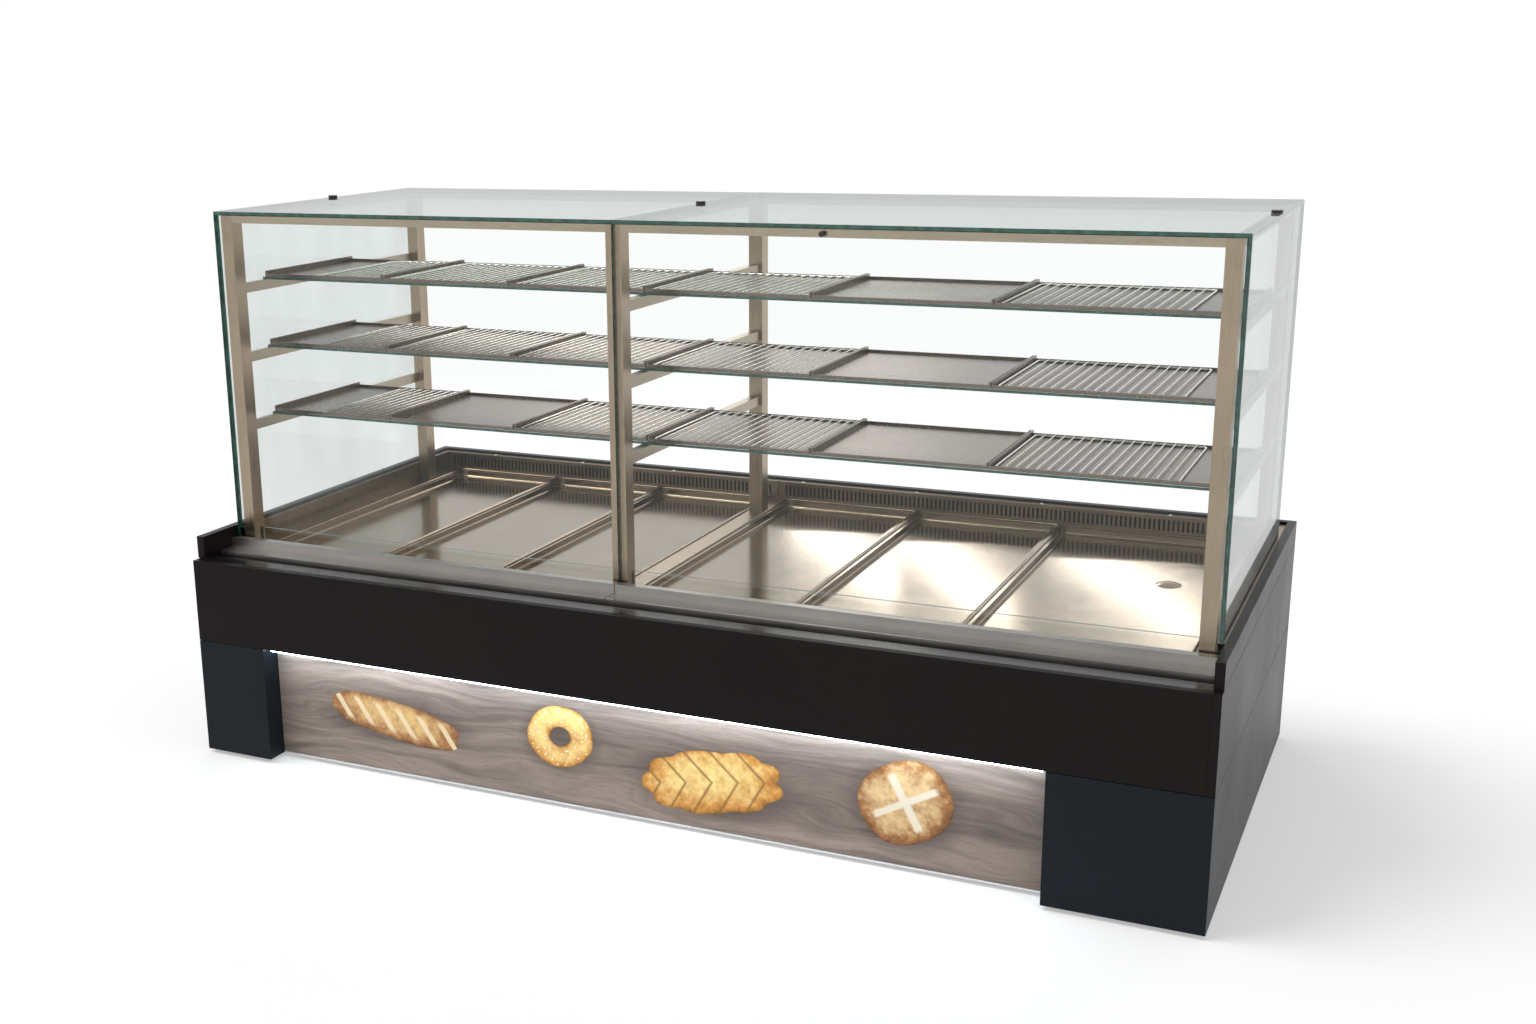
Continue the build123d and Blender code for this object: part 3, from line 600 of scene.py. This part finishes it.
@dataclass(frozen=True)
class PrintedWood(Finish):
    """The lit front panel: pale grey-brown grain with the soft printed shadows of the baked pieces."""

    light_wood: Colour = (0.345, 0.268, 0.222)
    dark_wood: Colour = (0.112, 0.086, 0.073)
    shadow: Colour = (0.045, 0.034, 0.030)
    shadow_drop: float = 0.008
    pore_scales: tuple[float, float, float] = (28.0, 1.0, 900.0)

    def paint(self, graph: Graph) -> Signal:
        """Bend a stretched noise by a slower one for the grain, and add pores and shadows."""
        place = graph.place()
        bend = graph.noise(graph.stretch(place, (1.6, 1.0, 7.0)), 1.0, 2.0)
        x, y, z = graph.split(place)
        bent = graph.node("ShaderNodeCombineXYZ", {}, {0: x * 2.2, 1: y, 2: z * 34.0 + bend * 7.0})
        grain = graph.noise(bent, 1.0, 8.0, 0.62)
        pores = graph.noise(graph.stretch(place, self.pore_scales), 1.0, 2.0).above(0.56, 0.12)
        colour = graph.mix(self.dark_wood, self.light_wood, ((grain - 0.5) * 2.4 + 0.5).clamp())
        colour = graph.mix(colour, shade(self.dark_wood, 0.8), pores * 0.4)
        for baked in BAKED:
            u = (x - baked.middle[0]) / baked.half[0]
            v = (z - baked.middle[1] + self.shadow_drop) / baked.half[1]
            near = 1.0 - (u * u + v * v).root().above(0.85, 0.5)
            colour = graph.mix(colour, self.shadow, near * 0.55)
        return graph.surface(Base_Color=colour, Roughness=0.4, Specular_IOR_Level=0.3)


@dataclass(frozen=True)
class Bond(Finish):
    """The dark line where two panes are bonded."""

    colour: Colour = (0.010, 0.035, 0.028)

    def paint(self, graph: Graph) -> Signal:
        """Vary the depth of colour slowly along the bond, with a wet gloss."""
        depth = graph.noise(graph.place(), 18.0, 3.0)
        colour = graph.shades(self.colour, 1.0, 2.2, depth.above(0.4, 0.3))
        return graph.surface(Base_Color=colour, Roughness=0.16 + depth * 0.1)


BLACK_LAMINATE = Laminate("black_laminate", "black_laminate", (0.0085, 0.0066, 0.0060), 0.36, 0.10)
LEDGE_LAMINATE = Laminate("ledge_laminate", "black_laminate", (0.010, 0.009, 0.009), 0.16, 0.4)
PLINTH_LAMINATE = Laminate(
    "blue_black_laminate", "blue_black_laminate", (0.0060, 0.0092, 0.0128), 0.38, 0.14
)
CARCASS_BOARD = Board("carcass_board", "carcass_board", (0.26, 0.20, 0.14))
POST_STEEL = Steel("post_steel", "warm_steel", (0.375, 0.288, 0.212), Run.UPRIGHT, 0.3)
RAIL_STEEL = Steel("rail_steel", "warm_steel", (0.40, 0.335, 0.255), Run.ALONG, 0.3)
BAR_STEEL = Steel("bar_steel", "warm_steel", (0.36, 0.300, 0.228), Run.ACROSS, 0.32)
NOSING_STEEL = Steel("nosing_steel", "nosing_steel", (0.45, 0.428, 0.410), Run.ALONG, 0.33, 0.4, 0.3)
WELL_STEEL = Steel("well_steel", "well_steel", (0.255, 0.191, 0.138), Run.ALONG, 0.30)
DECK_STEEL = SatinTray("deck_tray_steel", "deck_tray_steel", (0.275, 0.213, 0.158), 0.15)
SHELF_STEEL = SatinTray("shelf_tray_steel", "shelf_tray_steel", (0.190, 0.150, 0.125), 0.28)
RACK_CHROME = Plated("rack_chrome", "rack_chrome", (0.82, 0.79, 0.74))
HEATER_STEEL = Steel("heater_steel", "heater_steel", (0.22, 0.19, 0.17), Run.ACROSS, 0.45)
EDGE_METAL = Steel("edge_metal", "edge_metal", (0.72, 0.73, 0.75), Run.ALONG, 0.28, 0.3, 0.2)
FRONT_GLASS = Glass("front_glass", "clear_glass", Run.ACROSS, reflection=0.6)
SIDE_GLASS = Glass(
    "side_glass", "clear_glass", Run.ALONG, (0.945, 0.960, 0.955), (0.56, 0.60, 0.60), haze=0.16
)
TOP_GLASS = Glass("top_glass", "clear_glass", Run.UPRIGHT, (0.84, 0.89, 0.87), (0.40, 0.46, 0.44))
SHELF_GLASS = Glass("shelf_glass", "clear_glass", Run.UPRIGHT)
CLIP_BLACK = Plastic("clip_black", "clip_black", (0.012, 0.012, 0.013), 0.3)
GLIDE_PLASTIC = Plastic("glide_plastic", "glide_plastic", (0.02, 0.02, 0.02), 0.6)
FAN_PLASTIC = Plastic("fan_plastic", "fan_plastic", (0.03, 0.03, 0.03), 0.5)
CONTROL_PLASTIC = Plastic("control_plastic", "control_plastic", (0.05, 0.05, 0.052), 0.42)
MARK_WHITE = Plastic("mark_white", "control_plastic", (0.72, 0.72, 0.70), 0.5)
LIGHT_LENS = LightLens("light_lens", "light_lens")
PRINT = PrintedWood("graphic_print", "graphic_print")
BOND = Bond("bond_line", "clear_glass")


def dress(nodes: Iterable[str], finish: Finish) -> None:
    """Give solids a finish.

    Args:
        nodes: The names of the solids' nodes.
        finish: The finish that they get.
    """
    material = finish.make()
    for name in nodes:
        node = frame["nodes"][name]
        node.data.materials.clear()
        node.data.materials.append(material)
        log.info("dressed %s with %s", name, finish.name)


def piece(
    name: str,
    grids: Sequence[np.ndarray],
    finish: Finish,
    body: str,
    smooth: bool = True,
    ring: bool = False,
    rim: np.ndarray | None = None,
) -> bpy.types.Object:
    """Make one piece from grids of points.

    Each grid has the shape (rows, columns, 3). Its columns close on themselves. Its first and last rows
    are capped, or joined to each other where it is a ring, so every grid is one closed shell.

    Args:
        name: The piece's name.
        grids: The shells of the piece.
        finish: Its finish.
        body: The body that it rides on.
        smooth: Whether its faces are shaded smooth.
        ring: Whether the rows close on themselves too.
        rim: The rim attribute of every point, where the finish reads one.

    Returns:
        The new object.
    """
    points, faces, start = [], [], 0
    for grid in grids:
        rows, columns = grid.shape[:2]
        bands = rows if ring else rows - 1
        row, column = np.meshgrid(np.arange(bands), np.arange(columns), indexing="ij")
        near, far, following = row * columns, (row + 1) % rows * columns, (column + 1) % columns
        quads = np.stack([near + column, near + following, far + following, far + column], axis=-1)
        faces += (quads.reshape(-1, 4) + start).tolist()
        if not ring:
            faces.append(list(range(start + columns - 1, start - 1, -1)))
            faces.append(list(range(start + (rows - 1) * columns, start + rows * columns)))
        points.append(grid.reshape(-1, 3))
        start += rows * columns
    mesh = bpy.data.meshes.new(name)
    mesh.from_pydata(np.concatenate(points).tolist(), [], faces)
    build = bmesh.new()
    build.from_mesh(mesh)
    bmesh.ops.recalc_face_normals(build, faces=build.faces)
    build.to_mesh(mesh)
    build.free()
    if rim is not None:
        marks = mesh.attributes.new("rim", "FLOAT", "POINT")
        marks.data.foreach_set("value", rim.astype(np.float32).reshape(-1))
    if smooth:
        mesh.shade_smooth()
        mesh.set_sharp_from_angle(angle=radians(SHARP_ANGLE))
    mesh.materials.append(finish.make())
    made = bpy.data.objects.new(name, mesh)
    bpy.context.scene.collection.objects.link(made)
    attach(made, body)
    log.info("made %s on %s", name, body)
    return made


def loop_tube(
    lower: Vector,
    upper: Vector,
    height: float,
    corner: float,
    radius: float,
    steps: int = 7,
    sides: int = 12,
) -> np.ndarray:
    """Return a closed tube round a rectangle with rounded corners.

    The middle line is each corner's quarter circle joined by straight sides. A point of the tube is the
    middle line, plus the radius times the cosine of the turn outwards and its sine upwards.

    Args:
        lower: The rectangle's low corner, in x and y.
        upper: Its high corner.
        height: The height of the middle line.
        corner: The radius of its corners.
        radius: The radius of the tube.
        steps: The number of points on each corner.
        sides: The number of points round the tube.

    Returns:
        A grid whose rows go round the rectangle and whose columns go round the tube.
    """
    quarters = np.arange(4)
    angle = (quarters[:, None] * pi / 2 + np.linspace(0, pi / 2, steps)[None, :]).reshape(-1)
    outward = np.stack([np.cos(angle), np.sin(angle)], axis=-1)
    right = np.repeat(np.array([True, False, False, True]), steps)
    top = np.repeat(np.array([True, True, False, False]), steps)
    centre_x = np.where(right, upper.x - corner, lower.x + corner)
    centre_y = np.where(top, upper.y - corner, lower.y + corner)
    middle = np.stack([centre_x, centre_y], axis=-1) + corner * outward
    turn = np.linspace(0, 2 * pi, sides, endpoint=False)
    flat = middle[:, None, :] + radius * np.cos(turn)[None, :, None] * outward[:, None, :]
    rise = np.broadcast_to(height + radius * np.sin(turn), flat.shape[:2])
    return np.concatenate([flat, rise[..., None]], axis=-1)


def turned(
    profile: Sequence[tuple[float, float]],
    origin: Sequence[float],
    axis: Sequence[float],
    sides: int = 24,
) -> np.ndarray:
    """Return a profile turned round an axis.

    A point is the origin, plus its height along the axis, plus its radius times the cosine and sine of
    the turn along the two directions across the axis.

    Args:
        profile: Radius and height of each ring.
        origin: Where the axis starts.
        axis: The direction of the axis.
        sides: The number of points round it.

    Returns:
        A grid whose rows are the rings.
    """
    forward = np.array(axis, float)
    helper = np.array([0.0, 0.0, 1.0]) if abs(forward[2]) < 0.9 else np.array([1.0, 0.0, 0.0])
    first = np.cross(forward, helper)
    first /= np.linalg.norm(first)
    second = np.cross(forward, first)
    turn = np.linspace(0, 2 * pi, sides, endpoint=False)
    ring = np.cos(turn)[:, None] * first + np.sin(turn)[:, None] * second
    shape = np.array(profile, float)
    along = shape[:, 1][:, None, None] * forward
    return np.array(origin) + along + shape[:, 0][:, None, None] * ring[None]


def bar(start: Sequence[float], end: Sequence[float], section: np.ndarray) -> np.ndarray:
    """Return a straight bar: a section, given from the bar's own line, carried from start to end."""
    return np.array([start, end], float)[:, None, :] + section[None]


class SubAssembly:
    """A group of solids that are dressed together, and the fine pieces that belong to them."""

    def dress(self) -> None:
        """Give each solid its finish. Each sub-assembly has its own."""
        raise NotImplementedError

    def build(self) -> None:
        """Add the fine pieces. One without any adds none."""


@dataclass
class BaseBoards(SubAssembly):
    """The dark board base with its hidden carcass and its glides."""

    hole_places: tuple[tuple[float, float], ...] = (
        (-0.556, 0.328),
        (0.556, 0.328),
        (-0.556, 0.070),
        (0.556, 0.070),
    )
    cap_radius: float = 0.0045
    cap_rise: float = 0.0008

    def dress(self) -> None:
        """Give each board its laminate."""
        dress(["fascia", "sides_upper", "rims_side", "rim_rear", "rear_panel_upper"], BLACK_LAMINATE)
        dress(["ledge"], LEDGE_LAMINATE)
        dress(["plinths", "sides_lower", "rear_panel_lower"], PLINTH_LAMINATE)
        dress(["base_floor", "graphic_backing", "mid_board", "box_beam", "inner_boards"], CARCASS_BOARD)
        dress(["glides"], GLIDE_PLASTIC)

    def build(self) -> None:
        """Add the domed caps over the fixing screws of both side panels."""
        low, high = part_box("sides_upper")
        profile = [(self.cap_radius, 0.0)]
        for swell in np.linspace(0, pi / 2, 5):
            radius = max(self.cap_radius * 0.9 * cos(swell), TIP_RADIUS)
            profile.append((radius, self.cap_rise * (0.4 + 0.6 * sin(swell))))
        for side, x in (("left", low.x), ("right", high.x)):
            outward = -1.0 if side == "left" else 1.0
            shells = [turned(profile, (x, y, z), (outward, 0, 0)) for y, z in self.hole_places]
            piece(f"screw_caps_{side}", shells, CLIP_BLACK, "case")


# For each form: the power that squares its outline, and the number and depth of its scallops.
OUTLINES: Mapping[Bake, tuple[float, int, float]] = {
    Bake.STICK: (0.72, 7, 0.02),
    Bake.RING: (1.0, 5, 0.015),
    Bake.BUN: (0.95, 4, 0.02),
    Bake.BRAID: (0.85, 9, 0.05),
}


@dataclass
class LitPanel(SubAssembly):
    """The recessed front panel, its bottom edge and the light strip over it."""

    film: float = 0.0002
    columns: int = 120
    rows: int = 26
    ring_rows: int = 22
    tip_share: float = 0.01
    hole_share: float = 0.32

    def dress(self) -> None:
        """Give the panel its print, the edge its metal and the strip its light."""
        dress(["graphic_panel"], PRINT)
        dress(["graphic_edge"], EDGE_METAL)
        dress(["light_strip"], LIGHT_LENS)

    def outline(self, baked: BakedPrint, turn: np.ndarray) -> np.ndarray:
        """Return the edge of a printed piece, in shares of its half sizes.

        The cosine and sine of the turn are raised to a power that squares the outline, and the edge is
        scalloped by a sine of several turns.

        Args:
            baked: The printed piece.
            turn: The turns to work it out at.

        Returns:
            The points across and up.
        """
        power, waves, depth = OUTLINES[baked.form]
        shape = np.stack([np.cos(turn), np.sin(turn)], axis=-1)
        scallop = 1.0 + depth * (np.abs(np.sin(waves * turn / 2)) * 2 - 1)
        return np.sign(shape) * np.abs(shape) ** power * scallop[:, None]

    def build(self) -> None:
        """Print each baked piece as a thin film on the panel.

        A point of the film is the piece's middle plus its outline times a share from the middle to the
        edge, turned. A further row at each open edge lies on the panel itself.
        """
        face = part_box("graphic_panel")[0].y
        turn = np.linspace(0, 2 * pi, self.columns, endpoint=False)
        for baked in BAKED:
            ring = baked.form is Bake.RING
            if ring:
                share = np.linspace(self.hole_share, 1.0, self.ring_rows)
                rim = abs(share - share.mean()) / (share[-1] - share.mean())
            else:
                share = rim = np.linspace(self.tip_share, 1.0, self.rows)
            edges = (int(ring), 1)
            lift = np.pad(np.full(share.shape, self.film), edges)
            share, rim = np.pad(share, edges, "edge"), np.pad(rim, edges, "edge")
            local = share[:, None, None] * self.outline(baked, turn)[None] * np.array(baked.half)
            c, s = cos(baked.turn), sin(baked.turn)
            x = baked.middle[0] + local[..., 0] * c - local[..., 1] * s
            z = baked.middle[1] + local[..., 0] * s + local[..., 1] * c
            y = np.broadcast_to(face - lift[:, None], x.shape)
            grid = np.stack([x, y, z], axis=-1)
            marks = np.broadcast_to(rim[:, None], x.shape)
            piece(baked.name, [grid], baked, "case", smooth=False, ring=ring, rim=marks)


@dataclass
class WarmWells(SubAssembly):
    """The nosings, wells, vent strips, rails, heaters and fans."""

    screw_radius: float = 0.0045
    screw_rise: float = 0.0016
    screw_inset: float = 0.011
    screw_row: tuple[float, ...] = (-1.05, -0.75, -0.45, -0.19, -0.05, 0.28, 0.62, 0.95)

    def dress(self) -> None:
        """Give each part its steel or plastic."""
        dress(["nosings"], NOSING_STEEL)
        dress(["well_left", "well_right", "vent_strips", "tray_rails", "centre_cap"], WELL_STEEL)
        dress(["heaters"], HEATER_STEEL)
        dress(["fan_frames", "fan_rotor_left", "fan_rotor_right"], FAN_PLASTIC)

    def build(self) -> None:
        """Add the pan screws that hold the vent strips, on the flange behind the well."""
        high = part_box("vent_strips")[1]
        radius, rise = self.screw_radius, self.screw_rise
        sides = [(radius, 0.0), (radius, 0.0006), (radius * 0.8, 0.0013)]
        profile = sides + [(radius * 0.4, rise), (TIP_RADIUS, rise)]
        middle_y = high.y - self.screw_inset
        shells = [turned(profile, (x, middle_y, high.z), (0, 0, 1), 16) for x in self.screw_row]
        piece("vent_screws", shells, RACK_CHROME, "case")


@dataclass
class DeckTrays(SubAssembly):
    """The six deck trays and the rounded beads round their rims."""

    sides: tuple[str, ...] = ("left", "right")
    count: int = 3
    bead_radius: float = 0.00255
    bead_inset: float = 0.0016
    bead_drop: float = 0.0018
    corner: float = 0.014

    def names(self) -> list[str]:
        """Return the nodes' names, which are the bodies' names too."""
        numbers = range(1, self.count + 1)
        return [f"deck_tray_{side}_{number}" for side in self.sides for number in numbers]

    def dress(self) -> None:
        """Give the trays their satin steel."""
        dress(self.names(), DECK_STEEL)

    def build(self) -> None:
        """Carry a round bead along each rim, over the square one of the solid."""
        for name in self.names():
            low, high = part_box(name)
            inset = Vector((self.bead_inset, self.bead_inset, 0))
            height, corner = high.z - self.bead_drop, self.corner - self.bead_inset
            tube = loop_tube(low + inset, high - inset, height, corner, self.bead_radius)
            piece(f"bead_{name}", [tube], DECK_STEEL, name, ring=True)


@dataclass
class GlassHouse(SubAssembly):
    """The posts, rails and bars, the panes round them and their bonds and clips."""

    bond_width: float = 0.0022
    bond_start: float = 0.045
    pane: float = 0.008

    def dress(self) -> None:
        """Give the frame its brushed steel and each pane the glass for its direction."""
        dress(["posts"], POST_STEEL)
        dress(["top_rails"], RAIL_STEEL)
        dress(["shelf_bars"], BAR_STEEL)
        dress(["glass_front", "guard_panes"], FRONT_GLASS)
        dress(["glass_sides"], SIDE_GLASS)
        dress(["glass_top"], TOP_GLASS)
        dress(["glass_clips"], CLIP_BLACK)

    def build(self) -> None:
        """Add the dark bonds: a small three-sided fillet in each inner corner of the panes."""
        front_low, front_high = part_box("glass_front")
        side_low, side_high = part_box("glass_sides")
        w = self.bond_width
        shells = []
        left, right, front = side_low.x + self.pane, side_high.x - self.pane, front_high.y
        for x, inward in ((left, 1.0), (right, -1.0)):
            upright = np.array([[0, 0, 0], [inward * w, 0, 0], [0, w, 0]])
            foot, head = (x, front, front_low.z + self.bond_start), (x, front, front_high.z)
            shells.append(bar(foot, head, upright))
            back = np.array([[0, 0, 0], [inward * w, 0, 0], [0, 0, -w]])
            shells.append(bar((x, front, side_high.z), (x, side_high.y, side_high.z), back))
        under = np.array([[0, 0, 0], [0, w, 0], [0, 0, -w]])
        shells.append(bar((left, front, front_high.z), (right, front, front_high.z), under))
        piece("bond_lines", shells, BOND, "case", smooth=False)


@dataclass
class Shelves(SubAssembly):
    """The glass shelves, their trays and the wire racks."""

    levels: tuple[str, ...] = ("low", "mid", "top")
    sides: tuple[str, ...] = ("left", "right")

    def dress(self) -> None:
        """Give glass, trays and racks their finishes."""
        dress(["shelf_glass"], SHELF_GLASS)
        places = [f"{side}_{level}" for side in self.sides for level in self.levels]
        dress([f"shelf_trays_{place}" for place in places], SHELF_STEEL)
        dress([f"racks_{place}" for place in places], RACK_CHROME)


@dataclass
class StaffSide(SubAssembly):
    """The control panel with its knob, switches and printed scale, and the cable gland."""

    tick_count: int = 11
    tick_radius: float = 0.0235
    tick_length: float = 0.0045
    tick_width: float = 0.0012
    tick_rise: float = 0.0003
    sweep: float = 270.0
    screw_inset: float = 0.018

    def dress(self) -> None:
        """Give the controls their plastic."""
        switches = ["thermostat_knob", "heat_switch", "light_switch"]
        dress(["control_panel", *switches, "power_gland"], CONTROL_PLASTIC)

    def build(self) -> None:
        """Add the scale's raised ticks round the knob and the screws at the panel's corners."""
        low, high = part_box("thermostat_knob")
        panel_low, panel_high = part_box("control_panel")
        x, z = (low.x + high.x) / 2, (low.z + high.z) / 2
        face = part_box("rear_panel_upper")[0].y
        angles = np.radians(90.0 - self.sweep / 2 + np.linspace(0, self.sweep, self.tick_count))
        shells = []
        for angle in angles:
            along = np.array([cos(angle), 0, sin(angle)])
            across = np.array([-sin(angle), 0, cos(angle)]) * self.tick_width / 2
            middle = np.array([x, face, z])
            near = middle + along * self.tick_radius
            far = middle + along * (self.tick_radius + self.tick_length)
            section = np.array([near - across, near + across, far + across, far - across])
            shells.append(bar((0, 0, 0), (0, self.tick_rise, 0), section))
        piece("dial_ticks", shells, MARK_WHITE, "case", smooth=False)
        profile = [(0.0032, 0.0), (0.0032, 0.0008), (0.0022, 0.0016), (TIP_RADIUS, 0.0018)]
        inset = self.screw_inset
        places = [
            (across, up)
            for up in (panel_low.z + inset, panel_high.z - inset)
            for across in (panel_low.x + inset, panel_high.x - inset)
        ]
        screws = [turned(profile, (across, face, up), (0, 1, 0), 16) for across, up in places]
        piece("panel_screws", screws, RACK_CHROME, "case")


WHITE: Colour = (1.0, 1.0, 1.0)
WARM: Colour = (1.0, 0.96, 0.90)
# The streak lamps light only the pieces whose names start like this.
DECK_PIECES = ("deck_tray", "bead_deck_tray")
STREAK_WIDTH = 0.10


@dataclass(frozen=True)
class Lamp:
    """One soft lamp: where it stands, what it faces, its size, power, colour and tilt in degrees."""

    name: str
    place: tuple[float, float, float]
    aim: tuple[float, float, float]
    size: tuple[float, float]
    power: float
    colour: Colour = WHITE
    tilt: float = 0.0
    lights_only: tuple[str, ...] = ()

    def build(self) -> None:
        """Add the lamp to the scene, lighting all or only the pieces whose names start as given."""
        data = bpy.data.lights.new(self.name, "AREA")
        data.shape = "RECTANGLE"
        data.size, data.size_y = self.size
        data.energy = self.power
        data.color = self.colour
        made = bpy.data.objects.new(self.name, data)
        made.location = self.place
        facing = (Vector(self.aim) - Vector(self.place)).to_track_quat("-Z", "Y")
        made.rotation_euler = (facing @ Quaternion((0, 0, 1), radians(self.tilt))).to_euler()
        bpy.context.scene.collection.objects.link(made)
        if self.lights_only:
            lit = bpy.data.collections.new(f"lit_by_{self.name}")
            for other in bpy.data.objects:
                if other.name.startswith(self.lights_only):
                    lit.objects.link(other)
            made.light_linking.receiver_collection = lit


def streak(
    side: str, place: tuple[float, float, float], aim_x: float, length: float, power: float, tilt: float
) -> Lamp:
    """Return a long, narrow lamp that draws one slanting streak of light over the deck trays.

    Args:
        side: Which streak it is.
        place: Where the lamp stands.
        aim_x: How far along the case it aims.
        length: The lamp's length.
        power: Its power.
        tilt: Its turn round its own direction, in degrees.

    Returns:
        The lamp, not yet in the scene.
    """
    size, aim = (length, STREAK_WIDTH), (aim_x, 0.2, 0.5)
    return Lamp(f"streak_{side}", place, aim, size, power, WARM, tilt, DECK_PIECES)


@dataclass
class Studio:
    """The pale floor, the white surroundings, the lamps and the camera."""

    fill: float = 0.70
    sun_power: float = 1.6
    sun_spread: float = 30.0
    sun_from: tuple[float, float, float] = (-2.2, -0.9, 4.0)
    floor_half: float = 40.0
    lamps: tuple[Lamp, ...] = (
        Lamp("high_window", (-1.8, 4.2, 3.1), (0.2, 0.0, 0.5), (2.0, 0.9), 30.0, WARM),
        streak("left", (-1.36, 4.6, 1.78), 0.15, 0.74, 3.0, -39.0),
        streak("middle", (-0.76, 4.6, 1.83), 0.45, 0.90, 3.5, -44.0),
        streak("right", (0.13, 4.6, 1.81), 0.9, 0.94, 3.6, -35.0),
    )
    eye: tuple[float, float, float] = (1.6556, -3.9200, 1.6958)
    yaw: float = 26.708
    pitch: float = -14.914
    roll: float = -1.17
    focal_pixels: float = 1749.76
    centre: tuple[float, float] = (628.18, 536.30)
    image: tuple[int, int] = (1536, 1024)

    def seen(self, graph: Graph) -> Signal:
        """Return 1 for rays that show the background: camera, glossy and transmission rays."""
        names = ("Is Camera Ray", "Is Glossy Ray", "Is Transmission Ray")
        camera, glossy, through = [graph.node("ShaderNodeLightPath", output=name) for name in names]
        return camera.larger(glossy).larger(through)

    def surroundings(self) -> None:
        """Make a world that looks white and lights the object plainly."""
        world = bpy.data.worlds.new("studio")
        bpy.context.scene.world = world
        world.use_nodes = True
        graph = Graph(world.node_tree)
        strength = self.fill + self.seen(graph) * (1.0 - self.fill)
        light = graph.node("ShaderNodeBackground", {}, {"Color": WHITE, "Strength": strength})
        graph.close(light, "ShaderNodeOutputWorld")

    def floor(self) -> None:
        """Lay the pale floor, which keeps the soft shadow of the case."""
        half = self.floor_half
        square = [(-half, -half, 0), (half, -half, 0), (half, half, 0), (-half, half, 0)]
        mesh = bpy.data.meshes.new("floor")
        mesh.from_pydata(square, [], [(0, 1, 2, 3)])
        material = bpy.data.materials.new("pale_floor")
        material.use_nodes = True
        graph = Graph(material.node_tree)
        fine = graph.noise(graph.place(), 2.0, 2.0)
        pale = graph.mix((0.9, 0.9, 0.9), (0.92, 0.92, 0.92), fine)
        matt = graph.node("ShaderNodeBsdfDiffuse", {}, {"Color": pale})
        white = graph.node("ShaderNodeEmission", {}, {"Color": WHITE, "Strength": 1.0})
        graph.close(graph.blend(matt, white, self.seen(graph) * 0.4))
        mesh.materials.append(material)
        made = bpy.data.objects.new("floor", mesh)
        bpy.context.scene.collection.objects.link(made)

    def light(self) -> None:
        """Add the soft sun and the lamps."""
        data = bpy.data.lights.new("soft_key", "SUN")
        data.energy = self.sun_power
        data.angle = radians(self.sun_spread)
        sun = bpy.data.objects.new("soft_key", data)
        sun.rotation_euler = (-Vector(self.sun_from)).to_track_quat("-Z", "Y").to_euler()
        bpy.context.scene.collection.objects.link(sun)
        for lamp in self.lamps:
            lamp.build()

    def camera(self) -> None:
        """Place the camera by its turn, tilt and roll, with the lens from its focal length in pixels."""
        turn, tilt, roll = radians(self.yaw), radians(self.pitch), radians(self.roll)
        ahead = Vector((-sin(turn) * cos(tilt), cos(turn) * cos(tilt), sin(tilt)))
        level = Vector((cos(turn), sin(turn), 0))
        above = level.cross(ahead)
        right = cos(roll) * level + sin(roll) * above
        up = cos(roll) * above - sin(roll) * level
        data = bpy.data.cameras.new("camera")
        width, height = self.image
        data.sensor_width = 36.0
        data.sensor_fit = "HORIZONTAL"
        data.lens = self.focal_pixels * data.sensor_width / width
        data.shift_x = (width / 2 - self.centre[0]) / width
        data.shift_y = (self.centre[1] - height / 2) / width
        data.clip_end = 200.0
        made = bpy.data.objects.new("camera", data)
        facing = Matrix((right, up, -ahead)).transposed().to_4x4()
        made.matrix_world = Matrix.Translation(Vector(self.eye)) @ facing
        bpy.context.scene.collection.objects.link(made)
        bpy.context.scene.camera = made

    def build(self) -> None:
        """Build the whole studio."""
        self.surroundings()
        self.floor()
        self.light()
        self.camera()
        bpy.context.scene.view_settings.view_transform = "Standard"


def main() -> None:
    """Dress the solids, add the fine pieces and build the studio."""
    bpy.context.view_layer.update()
    kinds = (BaseBoards, LitPanel, WarmWells, DeckTrays, GlassHouse, Shelves, StaffSide)
    for kind in kinds:
        part = kind()
        part.dress()
        part.build()
        log.info("finished %s", kind.__name__)
    Studio().build()


if __name__ == "__main__":
    main()
